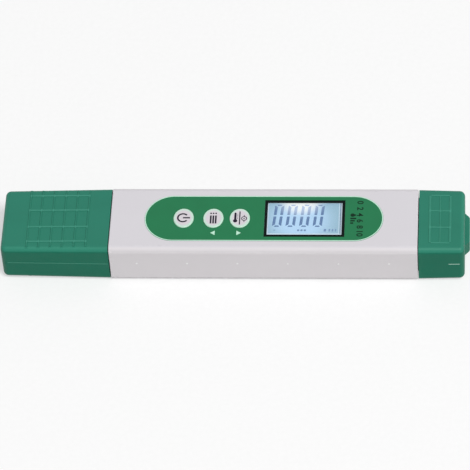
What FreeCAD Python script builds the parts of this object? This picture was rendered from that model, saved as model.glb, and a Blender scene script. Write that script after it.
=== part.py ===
import FreeCAD, Part

import os
import re

import Sketcher

# Water quality test pen, lying on its back with the display up.
# X runs along the pen from the probe cap (-X) to the battery cover (+X), +Z is the display side.
# The origin is the middle of the bounding box's underside. Lengths are in millimetres, angles in degrees.

DRIVING_SIZES = {
    # Moulded shells
    "body_length": 121.56,
    "body_width": 32.6,
    "body_depth": 19.0,
    "edge_radius": 2.3,
    "shell_end_edge": 0.3,
    "wall": 1.8,
    "inner_corner": 2.4,
    "seam_rise": 0.8,
    "tongue_width": 0.8,
    "tongue_height": 0.9,
    "tongue_gap": 0.1,
    "keeper_place": 4.0,
    "keeper_width": 1.2,
    "keeper_height": 1.0,
    "keeper_gap": 0.1,
    "floor_rib_place": 26.0,
    "floor_rib_rear_margin": 24.0,
    "floor_rib_count": 5,
    "floor_rib_width": 1.0,
    "floor_rib_height": 2.2,
    "pip_place": 10.8,
    "pip_rear_margin": 11.26,
    "pip_count": 6,
    "pip_radius": 0.4,
    "pip_height": 0.12,
    # Protective cap over the probe
    "cap_length": 43.0,
    "cap_step": 0.15,
    "cap_draft": 0.8,
    "cap_end_radius": 2.1,
    "cap_end_wall": 2.0,
    "cap_rib_place": 10.5,
    "cap_rib_pitch": 4.69,
    "cap_rib_count": 6,
    "cap_rib_height": 0.25,
    "cap_rib_width": 0.9,
    "cap_line_inner": 4.25,
    "cap_line_outer": 11.7,
    "joint_gap": 0.35,
    # Battery cover
    "cover_length": 18.44,
    "cover_step": 0.15,
    "cover_draft": 0.9,
    "cover_end_radius": 2.1,
    "cover_end_wall": 1.8,
    "cover_rib_place": 4.4,
    "cover_rib_pitch": 4.0,
    "cover_rib_height": 0.2,
    "cover_rib_border": 1.1,
    "cover_rib_width": 0.7,
    "cover_line_inner": 4.2,
    "cover_line_outer": 12.15,
    "lug_reach": 2.0,
    "lug_base": 16.5,
    "lug_tip": 11.9,
    "lug_thickness": 6.0,
    "lug_edge": 0.5,
    "rib_bedding": 0.3,
    "rib_flank": 35.0,
    # Necks that the cap and the cover push on to
    "cap_neck_reach": 7.0,
    "cap_neck_gap": 0.2,
    "cover_neck_reach": 14.1,
    "cover_neck_gap": 0.35,
    "neck_edge": 0.4,
    "spigot_reach": 8.0,
    "spigot_gap": 0.1,
    "cap_seal_place": 4.0,
    "cover_seal_place": 2.2,
    "seal_section": 1.2,
    "seal_fit": 0.05,
    "seal_rest": 0.02,
    # Probe
    "barrel_radius": 6.6,
    "barrel_reach": 11.4,
    "guard_seat": 4.0,
    "guard_fit": 0.05,
    "guard_length": 15.0,
    "guard_wall": 1.0,
    "guard_slot_width": 3.6,
    "guard_slot_length": 8.0,
    "guard_slot_place": 3.0,
    "guard_slot_count": 4,
    "guard_edge": 0.4,
    "pin_radius": 1.0,
    "pin_spread": 3.2,
    "pin_reach": 27.4,
    "pin_tail": 14.0,
    "pin_fit": 0.03,
    "sensor_radius": 1.5,
    "sensor_drop": 3.3,
    "sensor_reach": 28.4,
    "sensor_tail": 12.0,
    "lead_radius": 0.4,
    "lead_spread": 0.7,
    "lead_run": 1.6,
    "lead_bend": 1.6,
    # Label, window and display
    "label_front_margin": 15.45,
    "label_rear_margin": 15.15,
    "label_half_width": 11.52,
    "label_thickness": 0.25,
    "label_recess": 0.2,
    "label_gap": 0.1,
    "display_offset": 16.12,
    "frame_length": 31.7,
    "frame_width": 18.7,
    "frame_border": 1.1,
    "frame_thickness": 0.2,
    "window_fit": 0.05,
    "lens_thickness": 0.8,
    "lens_ledge": 0.55,
    "glass_thickness": 2.2,
    "glass_drop": 0.1,
    "glass_ledge": 0.6,
    "zebra_width": 1.0,
    "zebra_length": 28.0,
    "backlight_gap": 0.2,
    "backlight_lamp": 2.4,
    "carrier_wall": 1.6,
    "carrier_gap": 0.1,
    # Keys and their switches
    "power_key_pitch": 11.8,
    "mode_key_pitch": 10.45,
    "cal_key_gap": 9.8,
    "key_length": 8.25,
    "key_width": 9.9,
    "key_gap": 0.1,
    "key_proud": 0.3,
    "key_edge": 0.35,
    "key_flange": 0.7,
    "key_flange_thickness": 0.8,
    "key_flange_gap": 0.1,
    "key_travel": 0.4,
    "switch_size": 6.0,
    "switch_height": 3.2,
    "plunger_radius": 1.7,
    "plunger_fit": 0.08,
    "plunger_depth": 1.0,
    "plunger_touch": 0.05,
    "switch_leg": 0.7,
    # Circuit board
    "board_start": 10.0,
    "board_rear_gap": 10.0,
    "board_width": 27.0,
    "board_thickness": 1.2,
    "board_rise": 3.0,
    "board_corner": 2.0,
    "boss_margin": 5.0,
    "boss_before_window": 3.95,
    "boss_behind_window": 6.05,
    "boss_spread": 10.9,
    "boss_radius": 2.1,
    "boss_hole_radius": 0.65,
    "boss_hole_depth": 4.0,
    "board_hole_radius": 0.85,
    "screw_radius": 0.6,
    "screw_grip": 3.0,
    "screw_head_radius": 1.5,
    "screw_head_height": 0.9,
    "controller_offset": 6.95,
    "controller_size": 10.0,
    "controller_height": 1.6,
    "amplifier_offset": 0.9,
    "amplifier_length": 8.6,
    "amplifier_width": 4.0,
    "amplifier_height": 1.5,
    "crystal_margin": 4.95,
    "crystal_length": 8.0,
    "crystal_radius": 1.5,
    # Battery compartment
    "cell_radius": 5.8,
    "cell_height": 5.4,
    "cell_step": 0.3,
    "cell_rim": 0.9,
    "cell_edge": 0.3,
    "cell_gap": 0.1,
    "cell_spread": 6.6,
    "cells_per_bore": 2,
    "cell_recess": 0.1,
    "spring_bore_radius": 4.2,
    "spring_bore_depth": 5.0,
    "strip": 0.3,
    "strip_width": 3.2,
    "slot_gap": 0.1,
    "tail_reach": 2.6,
    "contact_half_width": 9.4,
    "contact_half_height": 3.6,
    "contact_corner": 1.5,
    "contact_dome_radius": 2.2,
    "contact_touch": 0.05,
}

doc = FreeCAD.newDocument("TestPen")
sheet = doc.addObject("Spreadsheet::Sheet", "Sizes")
for row, (alias, size) in enumerate(DRIVING_SIZES.items(), start=1):
    sheet.set(f"A{row}", alias)
    sheet.set(f"B{row}", str(size))
    sheet.setAlias(f"B{row}", alias)
doc.recompute()

ALIAS = re.compile(r"\b(" + "|".join(DRIVING_SIZES) + r")\b")
SUB_PARTS = []


def in_sheet(text):
    """The expression with each alias written as a cell of the Sizes sheet."""
    return ALIAS.sub(r"Sizes.\1", text)


def number(text):
    """The present value of an expression, for a sketch's first guess."""
    return float(sheet.evalExpression(in_sheet(text)))


def bind(target, prop, text):
    target.setExpression(prop, in_sheet(text))


# Places and sizes worked out from the driving sizes

HALF_WIDTH = "(body_width / 2)"
HALF_DEPTH = "(body_depth / 2)"
BODY_END = "(cap_length + body_length)"
OVERALL_LENGTH = "(cap_length + body_length + cover_length + lug_reach)"

CAP_RUN = "(cap_length - joint_gap)"
COVER_RUN = "(cover_length - joint_gap)"
CAP_BORE_INSET = "(cap_step + wall)"
COVER_BORE_INSET = "(cover_step + wall)"
CAP_NECK_INSET = "(cap_step + wall + cap_neck_gap)"
COVER_NECK_INSET = "(cover_step + wall + cover_neck_gap)"
CAP_SEAL_INSET = f"({CAP_BORE_INSET} + tan(cap_draft) * cap_seal_place + seal_fit)"
COVER_SEAL_INSET = f"({COVER_BORE_INSET} + tan(cover_draft) * cover_seal_place + seal_fit)"
KEEPER_INSET = "(wall + keeper_height)"
BARREL_END = "(cap_neck_reach + barrel_reach)"

# A moulded rib leans in on both flanks. Its sketch lies under the face, so it is that much wider there.
# A rib across the cap runs out on its rounded edges, this share of their radius short of the sides, and one
# across the cover ends in the outer ribs along it.
RIB_TAPER = "(-1 * rib_flank)"
RIB_SPREAD = "(rib_bedding * tan(rib_flank))"
RIB_RUN_OUT = 0.6
GUARD_BORE = "(barrel_radius - guard_wall)"

DISPLAY_MIDDLE = "(body_length / 2 + display_offset)"
WINDOW_FRONT = f"({DISPLAY_MIDDLE} - frame_length / 2)"
WINDOW_REAR = f"({DISPLAY_MIDDLE} + frame_length / 2)"
CAL_KEY = f"({WINDOW_FRONT} - cal_key_gap)"
MODE_KEY = f"({CAL_KEY} - mode_key_pitch)"
POWER_KEY = f"({MODE_KEY} - power_key_pitch)"
KEYS = {"power": POWER_KEY, "mode": MODE_KEY, "cal": CAL_KEY}
LABEL_START = f"({POWER_KEY} - label_front_margin)"
LABEL_END = f"({WINDOW_REAR} + label_rear_margin)"
PIP_PITCH = "((body_length - pip_place - pip_rear_margin) / (pip_count - 1))"
FLOOR_RIB_PITCH = "((body_length - floor_rib_place - floor_rib_rear_margin) / (floor_rib_count - 1))"

SHELL_INSIDE = f"({HALF_DEPTH} - wall)"
LENS_TOP = f"({HALF_DEPTH} - frame_thickness)"
LENS_SEAT = f"({LENS_TOP} - lens_thickness)"
GLASS_TOP = f"({LENS_SEAT} - glass_drop)"
GLASS_BOTTOM = f"({GLASS_TOP} - glass_thickness)"
GLASS_LENGTH = "(frame_length - 2 * lens_ledge - 2 * window_fit)"
GLASS_WIDTH = "(frame_width - 2 * lens_ledge - 2 * window_fit)"
BOARD_TOP = "board_rise"
BOARD_END = "(body_length - board_rear_gap)"
BOSSES = (
    "(board_start + boss_margin)",
    f"({WINDOW_FRONT} - boss_before_window)",
    f"({WINDOW_REAR} + boss_behind_window)",
)
BOARD_BOTTOM = "(board_rise - board_thickness)"
PIN_HEIGHT = f"({BOARD_BOTTOM} - pin_radius)"
SENSOR_HEIGHT = f"({PIN_HEIGHT} - sensor_drop)"
SWITCH_TOP = f"({BOARD_TOP} + switch_height)"
FLANGE_TOP = f"({SHELL_INSIDE} - key_flange_gap)"
FLANGE_BOTTOM = f"({FLANGE_TOP} - key_flange_thickness)"

CELL_SEAT = "(cover_neck_reach - cell_recess - cells_per_bore * cell_height - cell_gap)"
SPRING_SEAT = f"({CELL_SEAT} - spring_bore_depth)"
TAIL_TOP = BOARD_BOTTOM
BOARD_REAR = "(-1 * board_rear_gap)"
COVER_FLOOR = "(cover_length - cover_end_wall)"


# Documents, bodies and sketches

def new_body(label, datum="0", across="0", rise="0"):
    """A body whose own origin lies at datum along the pen, on the middle of its section."""
    body = doc.addObject("PartDesign::Body", label)
    body.Label = label
    bind(body, "Placement.Base.x", f"{datum} - {OVERALL_LENGTH} / 2")
    bind(body, "Placement.Base.y", across)
    bind(body, "Placement.Base.z", f"{HALF_DEPTH} + {rise}")
    SUB_PARTS.append(body)
    return body


def origin_plane(body, role):
    return next(item for item in body.Origin.OriginFeatures if item.Role == role)


def new_sketch(body, role, height="0"):
    """A sketch on one of the body's own origin planes, moved along that plane's normal."""
    sketch = body.newObject("Sketcher::SketchObject", "Sketch")
    sketch.AttachmentSupport = [(origin_plane(body, role), "")]
    sketch.MapMode = "FlatFace"
    bind(sketch, "AttachmentOffset.Base.z", height)
    return sketch


def fix_point(sketch, curve, point, x, y):
    """Hold one point of a curve at x, y from the sketch's origin."""
    for kind, text in (("DistanceX", x), ("DistanceY", y)):
        index = sketch.addConstraint(Sketcher.Constraint(kind, -1, 1, curve, point, number(text)))
        bind(sketch, f"Constraints[{index}]", text)


def draw_polygon(sketch, corners):
    """A closed outline of straight sides, each corner a pair of expressions."""
    places = [FreeCAD.Vector(number(x), number(y), 0) for x, y in corners]
    first = len(sketch.Geometry)
    count = len(corners)
    for index in range(count):
        sketch.addGeometry(Part.LineSegment(places[index], places[(index + 1) % count]))
    for index in range(count):
        following = first + (index + 1) % count
        sketch.addConstraint(Sketcher.Constraint("Coincident", first + index, 2, following, 1))
    for index, (x, y) in enumerate(corners):
        fix_point(sketch, first + index, 1, x, y)


def draw_rectangle(sketch, x_low, x_high, y_low, y_high):
    draw_polygon(sketch, [(x_low, y_low), (x_high, y_low), (x_high, y_high), (x_low, y_high)])


def draw_circle(sketch, x, y, radius):
    centre = FreeCAD.Vector(number(x), number(y), 0)
    curve = sketch.addGeometry(Part.Circle(centre, FreeCAD.Vector(0, 0, 1), number(radius)))
    fix_point(sketch, curve, 3, x, y)
    index = sketch.addConstraint(Sketcher.Constraint("Radius", curve, number(radius)))
    bind(sketch, f"Constraints[{index}]", radius)


def draw_round_rectangle(sketch, x_low, x_high, y_low, y_high, radius):
    """A rectangle whose four corners are tangent arcs."""
    left, right, low, high = number(x_low), number(x_high), number(y_low), number(y_high)
    turn = number(radius)
    vector = FreeCAD.Vector
    up = vector(0, 0, 1)
    sides = [
        Part.LineSegment(vector(left + turn, low, 0), vector(right - turn, low, 0)),
        Part.LineSegment(vector(right, low + turn, 0), vector(right, high - turn, 0)),
        Part.LineSegment(vector(right - turn, high, 0), vector(left + turn, high, 0)),
        Part.LineSegment(vector(left, high - turn, 0), vector(left, low + turn, 0)),
    ]
    centres = [
        vector(right - turn, low + turn, 0),
        vector(right - turn, high - turn, 0),
        vector(left + turn, high - turn, 0),
        vector(left + turn, low + turn, 0),
    ]
    lines = [sketch.addGeometry(side) for side in sides]
    arcs = []
    for quarter, centre in enumerate(centres):
        start = FreeCAD.Units.Quantity(f"{90 * quarter - 90} deg").getValueAs("rad").Value
        end = FreeCAD.Units.Quantity(f"{90 * quarter} deg").getValueAs("rad").Value
        arcs.append(sketch.addGeometry(Part.ArcOfCircle(Part.Circle(centre, up, turn), start, end)))
    for corner in range(4):
        following = lines[(corner + 1) % 4]
        sketch.addConstraint(Sketcher.Constraint("Tangent", lines[corner], 2, arcs[corner], 1))
        sketch.addConstraint(Sketcher.Constraint("Tangent", arcs[corner], 2, following, 1))
    for line, kind in zip(lines, ("Horizontal", "Vertical", "Horizontal", "Vertical")):
        sketch.addConstraint(Sketcher.Constraint(kind, line))
    for arc in arcs[1:]:
        sketch.addConstraint(Sketcher.Constraint("Equal", arcs[0], arc))
    index = sketch.addConstraint(Sketcher.Constraint("Radius", arcs[0], turn))
    bind(sketch, f"Constraints[{index}]", radius)
    edges = (("DistanceY", lines[0], y_low), ("DistanceX", lines[1], x_high),
             ("DistanceY", lines[2], y_high), ("DistanceX", lines[3], x_low))
    for kind, line, text in edges:
        index = sketch.addConstraint(Sketcher.Constraint(kind, -1, 1, line, 1, number(text)))
        bind(sketch, f"Constraints[{index}]", text)


def draw_section(sketch, inset, radius):
    """The pen's section in the YZ plane, moved in all round by inset."""
    half_y = f"({HALF_WIDTH} - {inset})"
    half_z = f"({HALF_DEPTH} - {inset})"
    draw_round_rectangle(sketch, f"-{half_y}", half_y, f"-{half_z}", half_z, radius)


def draw_stadium(sketch, x_low, x_high, half_width):
    """Two half circles joined by straight sides, along the sketch's X."""
    radius = number(half_width)
    left, right = number(x_low) + radius, number(x_high) - radius
    vector = FreeCAD.Vector
    up = vector(0, 0, 1)
    quarter = FreeCAD.Units.Quantity("90 deg").getValueAs("rad").Value
    bottom = sketch.addGeometry(Part.LineSegment(vector(left, -radius, 0), vector(right, -radius, 0)))
    right_circle = Part.Circle(vector(right, 0, 0), up, radius)
    nose = sketch.addGeometry(Part.ArcOfCircle(right_circle, -quarter, quarter))
    top = sketch.addGeometry(Part.LineSegment(vector(right, radius, 0), vector(left, radius, 0)))
    left_circle = Part.Circle(vector(left, 0, 0), up, radius)
    tail = sketch.addGeometry(Part.ArcOfCircle(left_circle, quarter, 3 * quarter))
    for first, second in ((bottom, nose), (nose, top), (top, tail), (tail, bottom)):
        sketch.addConstraint(Sketcher.Constraint("Tangent", first, 2, second, 1))
    sketch.addConstraint(Sketcher.Constraint("Horizontal", bottom))
    fix_point(sketch, nose, 3, f"{x_high} - {half_width}", "0")
    index = sketch.addConstraint(Sketcher.Constraint("DistanceX", -1, 1, tail, 3, left))
    bind(sketch, f"Constraints[{index}]", f"{x_low} + {half_width}")
    index = sketch.addConstraint(Sketcher.Constraint("Radius", nose, radius))
    bind(sketch, f"Constraints[{index}]", half_width)


def draw_oval(sketch, x, length, width):
    """An ellipse at x on the pen's middle line, width across the pen and length along it."""
    middle = FreeCAD.Vector(number(x), 0, 0)
    across = FreeCAD.Vector(number(x), number(width) / 2, 0)
    along = FreeCAD.Vector(number(x) - number(length) / 2, 0, 0)
    curve = sketch.addGeometry(Part.Ellipse(across, along, middle))
    sketch.exposeInternalGeometry(curve)
    fix_point(sketch, curve, 3, x, "0")
    sketch.addConstraint(Sketcher.Constraint("Vertical", curve + 1))
    for axis, text in ((curve + 1, width), (curve + 2, length)):
        index = sketch.addConstraint(Sketcher.Constraint("Distance", axis, number(text)))
        bind(sketch, f"Constraints[{index}]", text)


# Features

def volume_of(body):
    doc.recompute()
    return body.Tip.Shape.Volume if body.Tip else 0.0


def must_change(body, before, grows, what):
    """A feature that leaves the solid's volume as it was is a fault, so the build stops."""
    after = volume_of(body)
    changed = after > before if grows else after < before
    if not changed:
        raise RuntimeError(f"{body.Label}: {what} changed nothing")


def pad(sketch, length, reverse=False, both_ways=False, taper=None):
    body = sketch.getParentGeoFeatureGroup()
    before = volume_of(body)
    feature = body.newObject("PartDesign::Pad", "Pad")
    feature.Profile = sketch
    feature.Reversed = reverse
    if both_ways:
        feature.SideType = "Symmetric"
    bind(feature, "Length", length)
    if taper:
        bind(feature, "TaperAngle", taper)
    must_change(body, before, True, "a pad")
    return feature


def pocket(sketch, depth, reverse=False):
    """Cuts against the sketch's normal, or along it when reversed."""
    body = sketch.getParentGeoFeatureGroup()
    before = volume_of(body)
    feature = body.newObject("PartDesign::Pocket", "Pocket")
    feature.Profile = sketch
    feature.Reversed = reverse
    bind(feature, "Length", depth)
    must_change(body, before, False, "a pocket")
    return feature


def loft(body, sections, cut=False):
    before = volume_of(body)
    kind = "PartDesign::SubtractiveLoft" if cut else "PartDesign::AdditiveLoft"
    feature = body.newObject(kind, "Loft")
    feature.Profile = sections[0]
    feature.Sections = [(section, [""]) for section in sections[1:]]
    feature.Ruled = True
    must_change(body, before, not cut, "a loft")
    return feature


def repeat_along_x(feature, sketch, pitch, count):
    """Copies of a feature at a steady pitch along the sketch's X."""
    body = feature.getParentGeoFeatureGroup()
    before = volume_of(body)
    pattern = body.newObject("PartDesign::LinearPattern", "Row")
    pattern.Originals = [feature]
    pattern.Direction = (sketch, ["H_Axis"])
    pattern.Mode = "Spacing"
    bind(pattern, "Offset", pitch)
    bind(pattern, "Occurrences", count)
    body.Tip = pattern
    if number(count) > 1:
        must_change(body, before, "Pad" in feature.Name, "a row")
    return pattern


def round_edges(body, radius, chosen):
    """Fillet each edge of the tip that the chosen test picks."""
    tip = body.Tip
    names = [f"Edge{index}" for index, edge in enumerate(tip.Shape.Edges, start=1) if chosen(edge)]
    if not names:
        raise RuntimeError(f"{body.Label}: no edge to round")
    feature = body.newObject("PartDesign::Fillet", "Fillet")
    feature.Base = (tip, names)
    bind(feature, "Radius", radius)
    doc.recompute()
    return feature


def lies_at(edge, axis, place, slack=1e-4):
    """True where the whole edge lies in the plane across axis at place."""
    box = edge.BoundBox
    low, high = getattr(box, axis + "Min"), getattr(box, axis + "Max")
    return abs(low - place) < slack and abs(high - place) < slack


def local_edges(body, axis, place):
    """The edge test for a plane in the body's own frame."""
    wanted = number(place)
    return lambda edge: lies_at(edge, axis, wanted)


def plate(label, datum, rise, x_low, x_high, half_width, thickness, corner=None):
    """A flat rectangle centred on the pen's middle line, its underside at rise."""
    body = new_body(label, datum, rise=rise)
    sketch = new_sketch(body, "XY_Plane")
    if corner:
        draw_round_rectangle(sketch, x_low, x_high, f"-({half_width})", half_width, corner)
    else:
        draw_rectangle(sketch, x_low, x_high, f"-({half_width})", half_width)
    pad(sketch, thickness)
    return body


# Tapered hoods: the protective cap and the battery cover

def build_hood(body, mouth, toward, run, step, draft, end_wall, end_radius):
    """A hollow hood with drafted walls. It runs from its mouth to its closed end, toward -1 or +1.

    Each loft is laid from its +X section to its -X section, so that its faces point outward.
    """
    end = f"({mouth} + {toward} * {run})"
    floor = f"({mouth} + {toward} * ({run} - {end_wall}))"

    def section(place, inset, radius):
        sketch = new_sketch(body, "YZ_Plane", place)
        draw_section(sketch, inset, radius)
        return sketch

    outer_mouth = section(mouth, step, "edge_radius")
    outer_end = section(end, f"({step} + tan({draft}) * {run})", "edge_radius")
    loft(body, [outer_mouth, outer_end][::-toward])
    round_edges(body, end_radius, local_edges(body, "X", end))
    inner_mouth = section(mouth, f"({step} + wall)", "inner_corner")
    deep_inset = f"({step} + wall + tan({draft}) * ({run} - {end_wall}))"
    inner_end = section(floor, deep_inset, "inner_corner")
    loft(body, [inner_mouth, inner_end][::-toward], cut=True)


def face_sketch(body, mouth, toward, step, draft, side):
    """A sketch just under a drafted face, side 1 for the display side and -1 for the back."""
    sketch = body.newObject("Sketcher::SketchObject", "Sketch")
    sketch.AttachmentSupport = [(origin_plane(body, "XY_Plane"), "")]
    sketch.MapMode = "FlatFace"
    lean_axis = FreeCAD.Vector(0, side * toward, 0)
    sketch.AttachmentOffset = FreeCAD.Placement(FreeCAD.Vector(), FreeCAD.Rotation(lean_axis, number(draft)))
    bind(sketch, "AttachmentOffset.Rotation.Angle", draft)
    bind(sketch, "AttachmentOffset.Base.x", mouth)
    bind(sketch, "AttachmentOffset.Base.z", f"{side} * ({HALF_DEPTH} - {step} - rib_bedding)")
    return sketch


def rib_across(body, face, place, reach, width, height, back):
    """One rib across a face as far as reach each side of the middle, its own middle at place from the mouth."""
    sketch = face_sketch(body, **face)
    half = f"({width} / 2 + {RIB_SPREAD})"
    draw_rectangle(sketch, f"{place} - {half}", f"{place} + {half}", f"-{reach}", reach)
    return sketch, pad(sketch, f"{height} + rib_bedding", reverse=back, taper=RIB_TAPER)


def ribs_along(body, face, start, stop, lines, width, height, back):
    """Ribs along a face from start to stop, one each side of the middle for each line."""
    sketch = face_sketch(body, **face)
    half = f"({width} / 2 + {RIB_SPREAD})"
    for line in lines:
        for flank in (1, -1):
            middle = f"{flank} * {line}"
            draw_rectangle(sketch, start, stop, f"{middle} - {half}", f"{middle} + {half}")
    return pad(sketch, f"{height} + rib_bedding", reverse=back, taper=RIB_TAPER)


def build_protective_cap():
    body = new_body("protective_cap")
    mouth = CAP_RUN
    build_hood(body, mouth, -1, CAP_RUN, "cap_step", "cap_draft", "cap_end_wall", "cap_end_radius")
    for side in (1, -1):
        face = {"mouth": mouth, "toward": -1, "step": "cap_step", "draft": "cap_draft", "side": side}
        first = f"(cap_rib_place - {mouth})"
        last = f"({first} + cap_rib_pitch * (cap_rib_count - 1))"
        reach = f"({HALF_WIDTH} - cap_step - {RIB_RUN_OUT} * edge_radius)"
        sketch, rib = rib_across(body, face, first, reach, "cap_rib_width", "cap_rib_height", side < 0)
        repeat_along_x(rib, sketch, "cap_rib_pitch", "cap_rib_count")
        lines = ("cap_line_inner", "cap_line_outer")
        ribs_along(body, face, first, last, lines, "cap_rib_width", "cap_rib_height", side < 0)


def build_battery_cover():
    body = new_body("battery_cover", BODY_END)
    mouth = "joint_gap"
    run = COVER_RUN
    build_hood(body, mouth, 1, run, "cover_step", "cover_draft", "cover_end_wall", "cover_end_radius")
    for side in (1, -1):
        face = {"mouth": mouth, "toward": 1, "step": "cover_step", "draft": "cover_draft", "side": side}
        first = "cover_rib_place"
        last = f"({first} + 2 * cover_rib_pitch)"
        for place, width in ((first, "cover_rib_border"), (last, "cover_rib_border"),
                             (f"({first} + cover_rib_pitch)", "cover_rib_width")):
            rib_across(body, face, place, "cover_line_outer", width, "cover_rib_height", side < 0)
        lines = ("cover_line_inner", "cover_line_outer")
        ribs_along(body, face, first, last, lines, "cover_rib_width", "cover_rib_height", side < 0)
    lug = new_sketch(body, "XY_Plane")
    root = "(cover_length - rib_bedding)"
    tip = "(cover_length + lug_reach)"
    draw_polygon(lug, [(root, "-lug_base / 2"), ("cover_length", "-lug_base / 2"), (tip, "-lug_tip / 2"),
                       (tip, "lug_tip / 2"), ("cover_length", "lug_base / 2"), (root, "lug_base / 2")])
    pad(lug, "lug_thickness", both_ways=True)
    round_edges(body, "lug_edge", local_edges(body, "X", tip))


# Shells

def outer_rim(place):
    """The edge test for the shell's outer outline at one of its ends, but not for the seam's edges."""
    half_width, half_depth, seam = number(HALF_WIDTH), number(HALF_DEPTH), number("seam_rise")
    end = number(place)

    def chosen(edge):
        box = edge.BoundBox
        sides = max(abs(box.YMin), abs(box.YMax)) > half_width - 1e-4
        faces = max(abs(box.ZMin), abs(box.ZMax)) > half_depth - 1e-4
        return lies_at(edge, "X", end) and (sides or faces) and not lies_at(edge, "Z", seam)

    return chosen


def build_shell_channel(body, keep_top):
    """Half of the pen's section along the whole body, with a keeper rib near each end."""
    outline = new_sketch(body, "YZ_Plane")
    draw_section(outline, "0", "edge_radius")
    pad(outline, "body_length")
    hollow = new_sketch(body, "YZ_Plane")
    draw_section(hollow, "wall", "inner_corner")
    pocket(hollow, "body_length", reverse=True)
    front = "(keeper_place - keeper_width / 2)"
    for place in (front, "(body_length - keeper_place - keeper_width / 2)"):
        keeper = new_sketch(body, "YZ_Plane", place)
        draw_section(keeper, "(wall - rib_bedding)", "inner_corner")
        draw_section(keeper, KEEPER_INSET, "inner_corner")
        pad(keeper, "keeper_width")
    beyond = "(body_width + body_depth)"
    split = new_sketch(body, "YZ_Plane")
    if keep_top:
        draw_rectangle(split, f"-{beyond}", beyond, f"-{beyond}", "seam_rise")
    else:
        draw_rectangle(split, f"-{beyond}", beyond, "seam_rise", beyond)
    pocket(split, "body_length", reverse=True)
    for place in ("0", "body_length"):
        round_edges(body, "shell_end_edge", outer_rim(place))


def seam_strips(body, inward, outward, below, above):
    """The sections of two strips along the inner edges of the seam, which runs at seam_rise."""
    sketch = new_sketch(body, "YZ_Plane")
    inner = f"({HALF_WIDTH} - wall - {inward})"
    outer = f"({HALF_WIDTH} - wall + {outward})"
    for side in ("", "-"):
        draw_rectangle(sketch, f"{side}{inner}", f"{side}{outer}", f"seam_rise - {below}",
                       f"seam_rise + {above}")
    return sketch


def draw_at_bosses(sketch, radius):
    """A circle at each of the shell's six screw bosses."""
    for place in BOSSES:
        for side in ("", "-"):
            draw_circle(sketch, place, f"{side}boss_spread", radius)


def build_front_shell():
    body = new_body("front_shell", "cap_length")
    build_shell_channel(body, keep_top=True)
    tongue = seam_strips(body, "0", "tongue_width", "tongue_height", "rib_bedding")
    pad(tongue, "body_length")

    recess = new_sketch(body, "XY_Plane", HALF_DEPTH)
    draw_stadium(recess, f"({LABEL_START} - label_gap)", f"({LABEL_END} + label_gap)",
                 "(label_half_width + label_gap)")
    pocket(recess, "label_recess")

    window = new_sketch(body, "XY_Plane", HALF_DEPTH)
    half_length = "(frame_length / 2 + window_fit)"
    half_width = "(frame_width / 2 + window_fit)"
    draw_rectangle(window, f"{DISPLAY_MIDDLE} - {half_length}", f"{DISPLAY_MIDDLE} + {half_length}",
                   f"-{half_width}", half_width)
    pocket(window, "frame_thickness + lens_thickness")
    opening = new_sketch(body, "XY_Plane", HALF_DEPTH)
    half_length = "(frame_length / 2 - lens_ledge)"
    half_width = "(frame_width / 2 - lens_ledge)"
    draw_rectangle(opening, f"{DISPLAY_MIDDLE} - {half_length}", f"{DISPLAY_MIDDLE} + {half_length}",
                   f"-{half_width}", half_width)
    pocket(opening, "wall + rib_bedding")

    keyholes = new_sketch(body, "XY_Plane", HALF_DEPTH)
    for place in KEYS.values():
        draw_oval(keyholes, place, "key_length", "key_width")
    pocket(keyholes, "wall + rib_bedding")

    bosses = new_sketch(body, "XY_Plane", BOARD_TOP)
    draw_at_bosses(bosses, "boss_radius")
    pad(bosses, f"{SHELL_INSIDE} - {BOARD_TOP} + rib_bedding")
    holes = new_sketch(body, "XY_Plane", BOARD_TOP)
    draw_at_bosses(holes, "boss_hole_radius")
    pocket(holes, "boss_hole_depth", reverse=True)

    for side, reverse in (("", True), ("-", False)):
        pips = new_sketch(body, "XZ_Plane", f"{side}({HALF_WIDTH} - rib_bedding)")
        draw_circle(pips, "pip_place", "seam_rise + pip_radius", "pip_radius")
        pip = pad(pips, "rib_bedding + pip_height", reverse=not reverse)
        repeat_along_x(pip, pips, PIP_PITCH, "pip_count")


def build_back_shell():
    body = new_body("back_shell", "cap_length")
    build_shell_channel(body, keep_top=False)
    rebate = seam_strips(body, "rib_bedding", "(tongue_width + tongue_gap)",
                         "(tongue_height + tongue_gap)", "0")
    pocket(rebate, "body_length", reverse=True)
    ribs = new_sketch(body, "XY_Plane", f"-({SHELL_INSIDE} + rib_bedding)")
    half = f"({HALF_WIDTH} - wall)"
    draw_rectangle(ribs, "floor_rib_place - floor_rib_width / 2", "floor_rib_place + floor_rib_width / 2",
                   f"-{half}", half)
    rib = pad(ribs, "floor_rib_height + rib_bedding")
    repeat_along_x(rib, ribs, FLOOR_RIB_PITCH, "floor_rib_count")


# Necks, seals and probe

def ring_pocket(body, place, length, inset):
    """Cut the body's whole rim down to inset, over a length that starts at place."""
    sketch = new_sketch(body, "YZ_Plane", place)
    draw_section(sketch, "-1 * wall", "inner_corner")
    draw_section(sketch, inset, "inner_corner")
    return pocket(sketch, length, reverse=True)


def build_neck(body, toward, reach, neck_inset, seal_place, seal_inset):
    """The spigot held in the shells, the neck outside them, its seal groove and the keeper groove."""
    spigot = new_sketch(body, "YZ_Plane")
    draw_section(spigot, "(wall + spigot_gap)", "inner_corner")
    pad(spigot, "spigot_reach", reverse=toward > 0)
    neck = new_sketch(body, "YZ_Plane")
    draw_section(neck, neck_inset, "inner_corner")
    pad(neck, reach, reverse=toward < 0)
    round_edges(body, "neck_edge", local_edges(body, "X", f"{toward} * {reach}"))
    middle = f"({-toward} * keeper_place)"
    ring_pocket(body, f"{middle} - keeper_width / 2 - keeper_gap", "keeper_width + 2 * keeper_gap",
                f"({KEEPER_INSET} + keeper_gap)")
    groove_middle = f"({toward} * {seal_place})"
    ring_pocket(body, f"{groove_middle} - seal_section / 2 - seal_fit", "seal_section + 2 * seal_fit",
                f"({seal_inset} + seal_section + seal_rest)")


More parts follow.
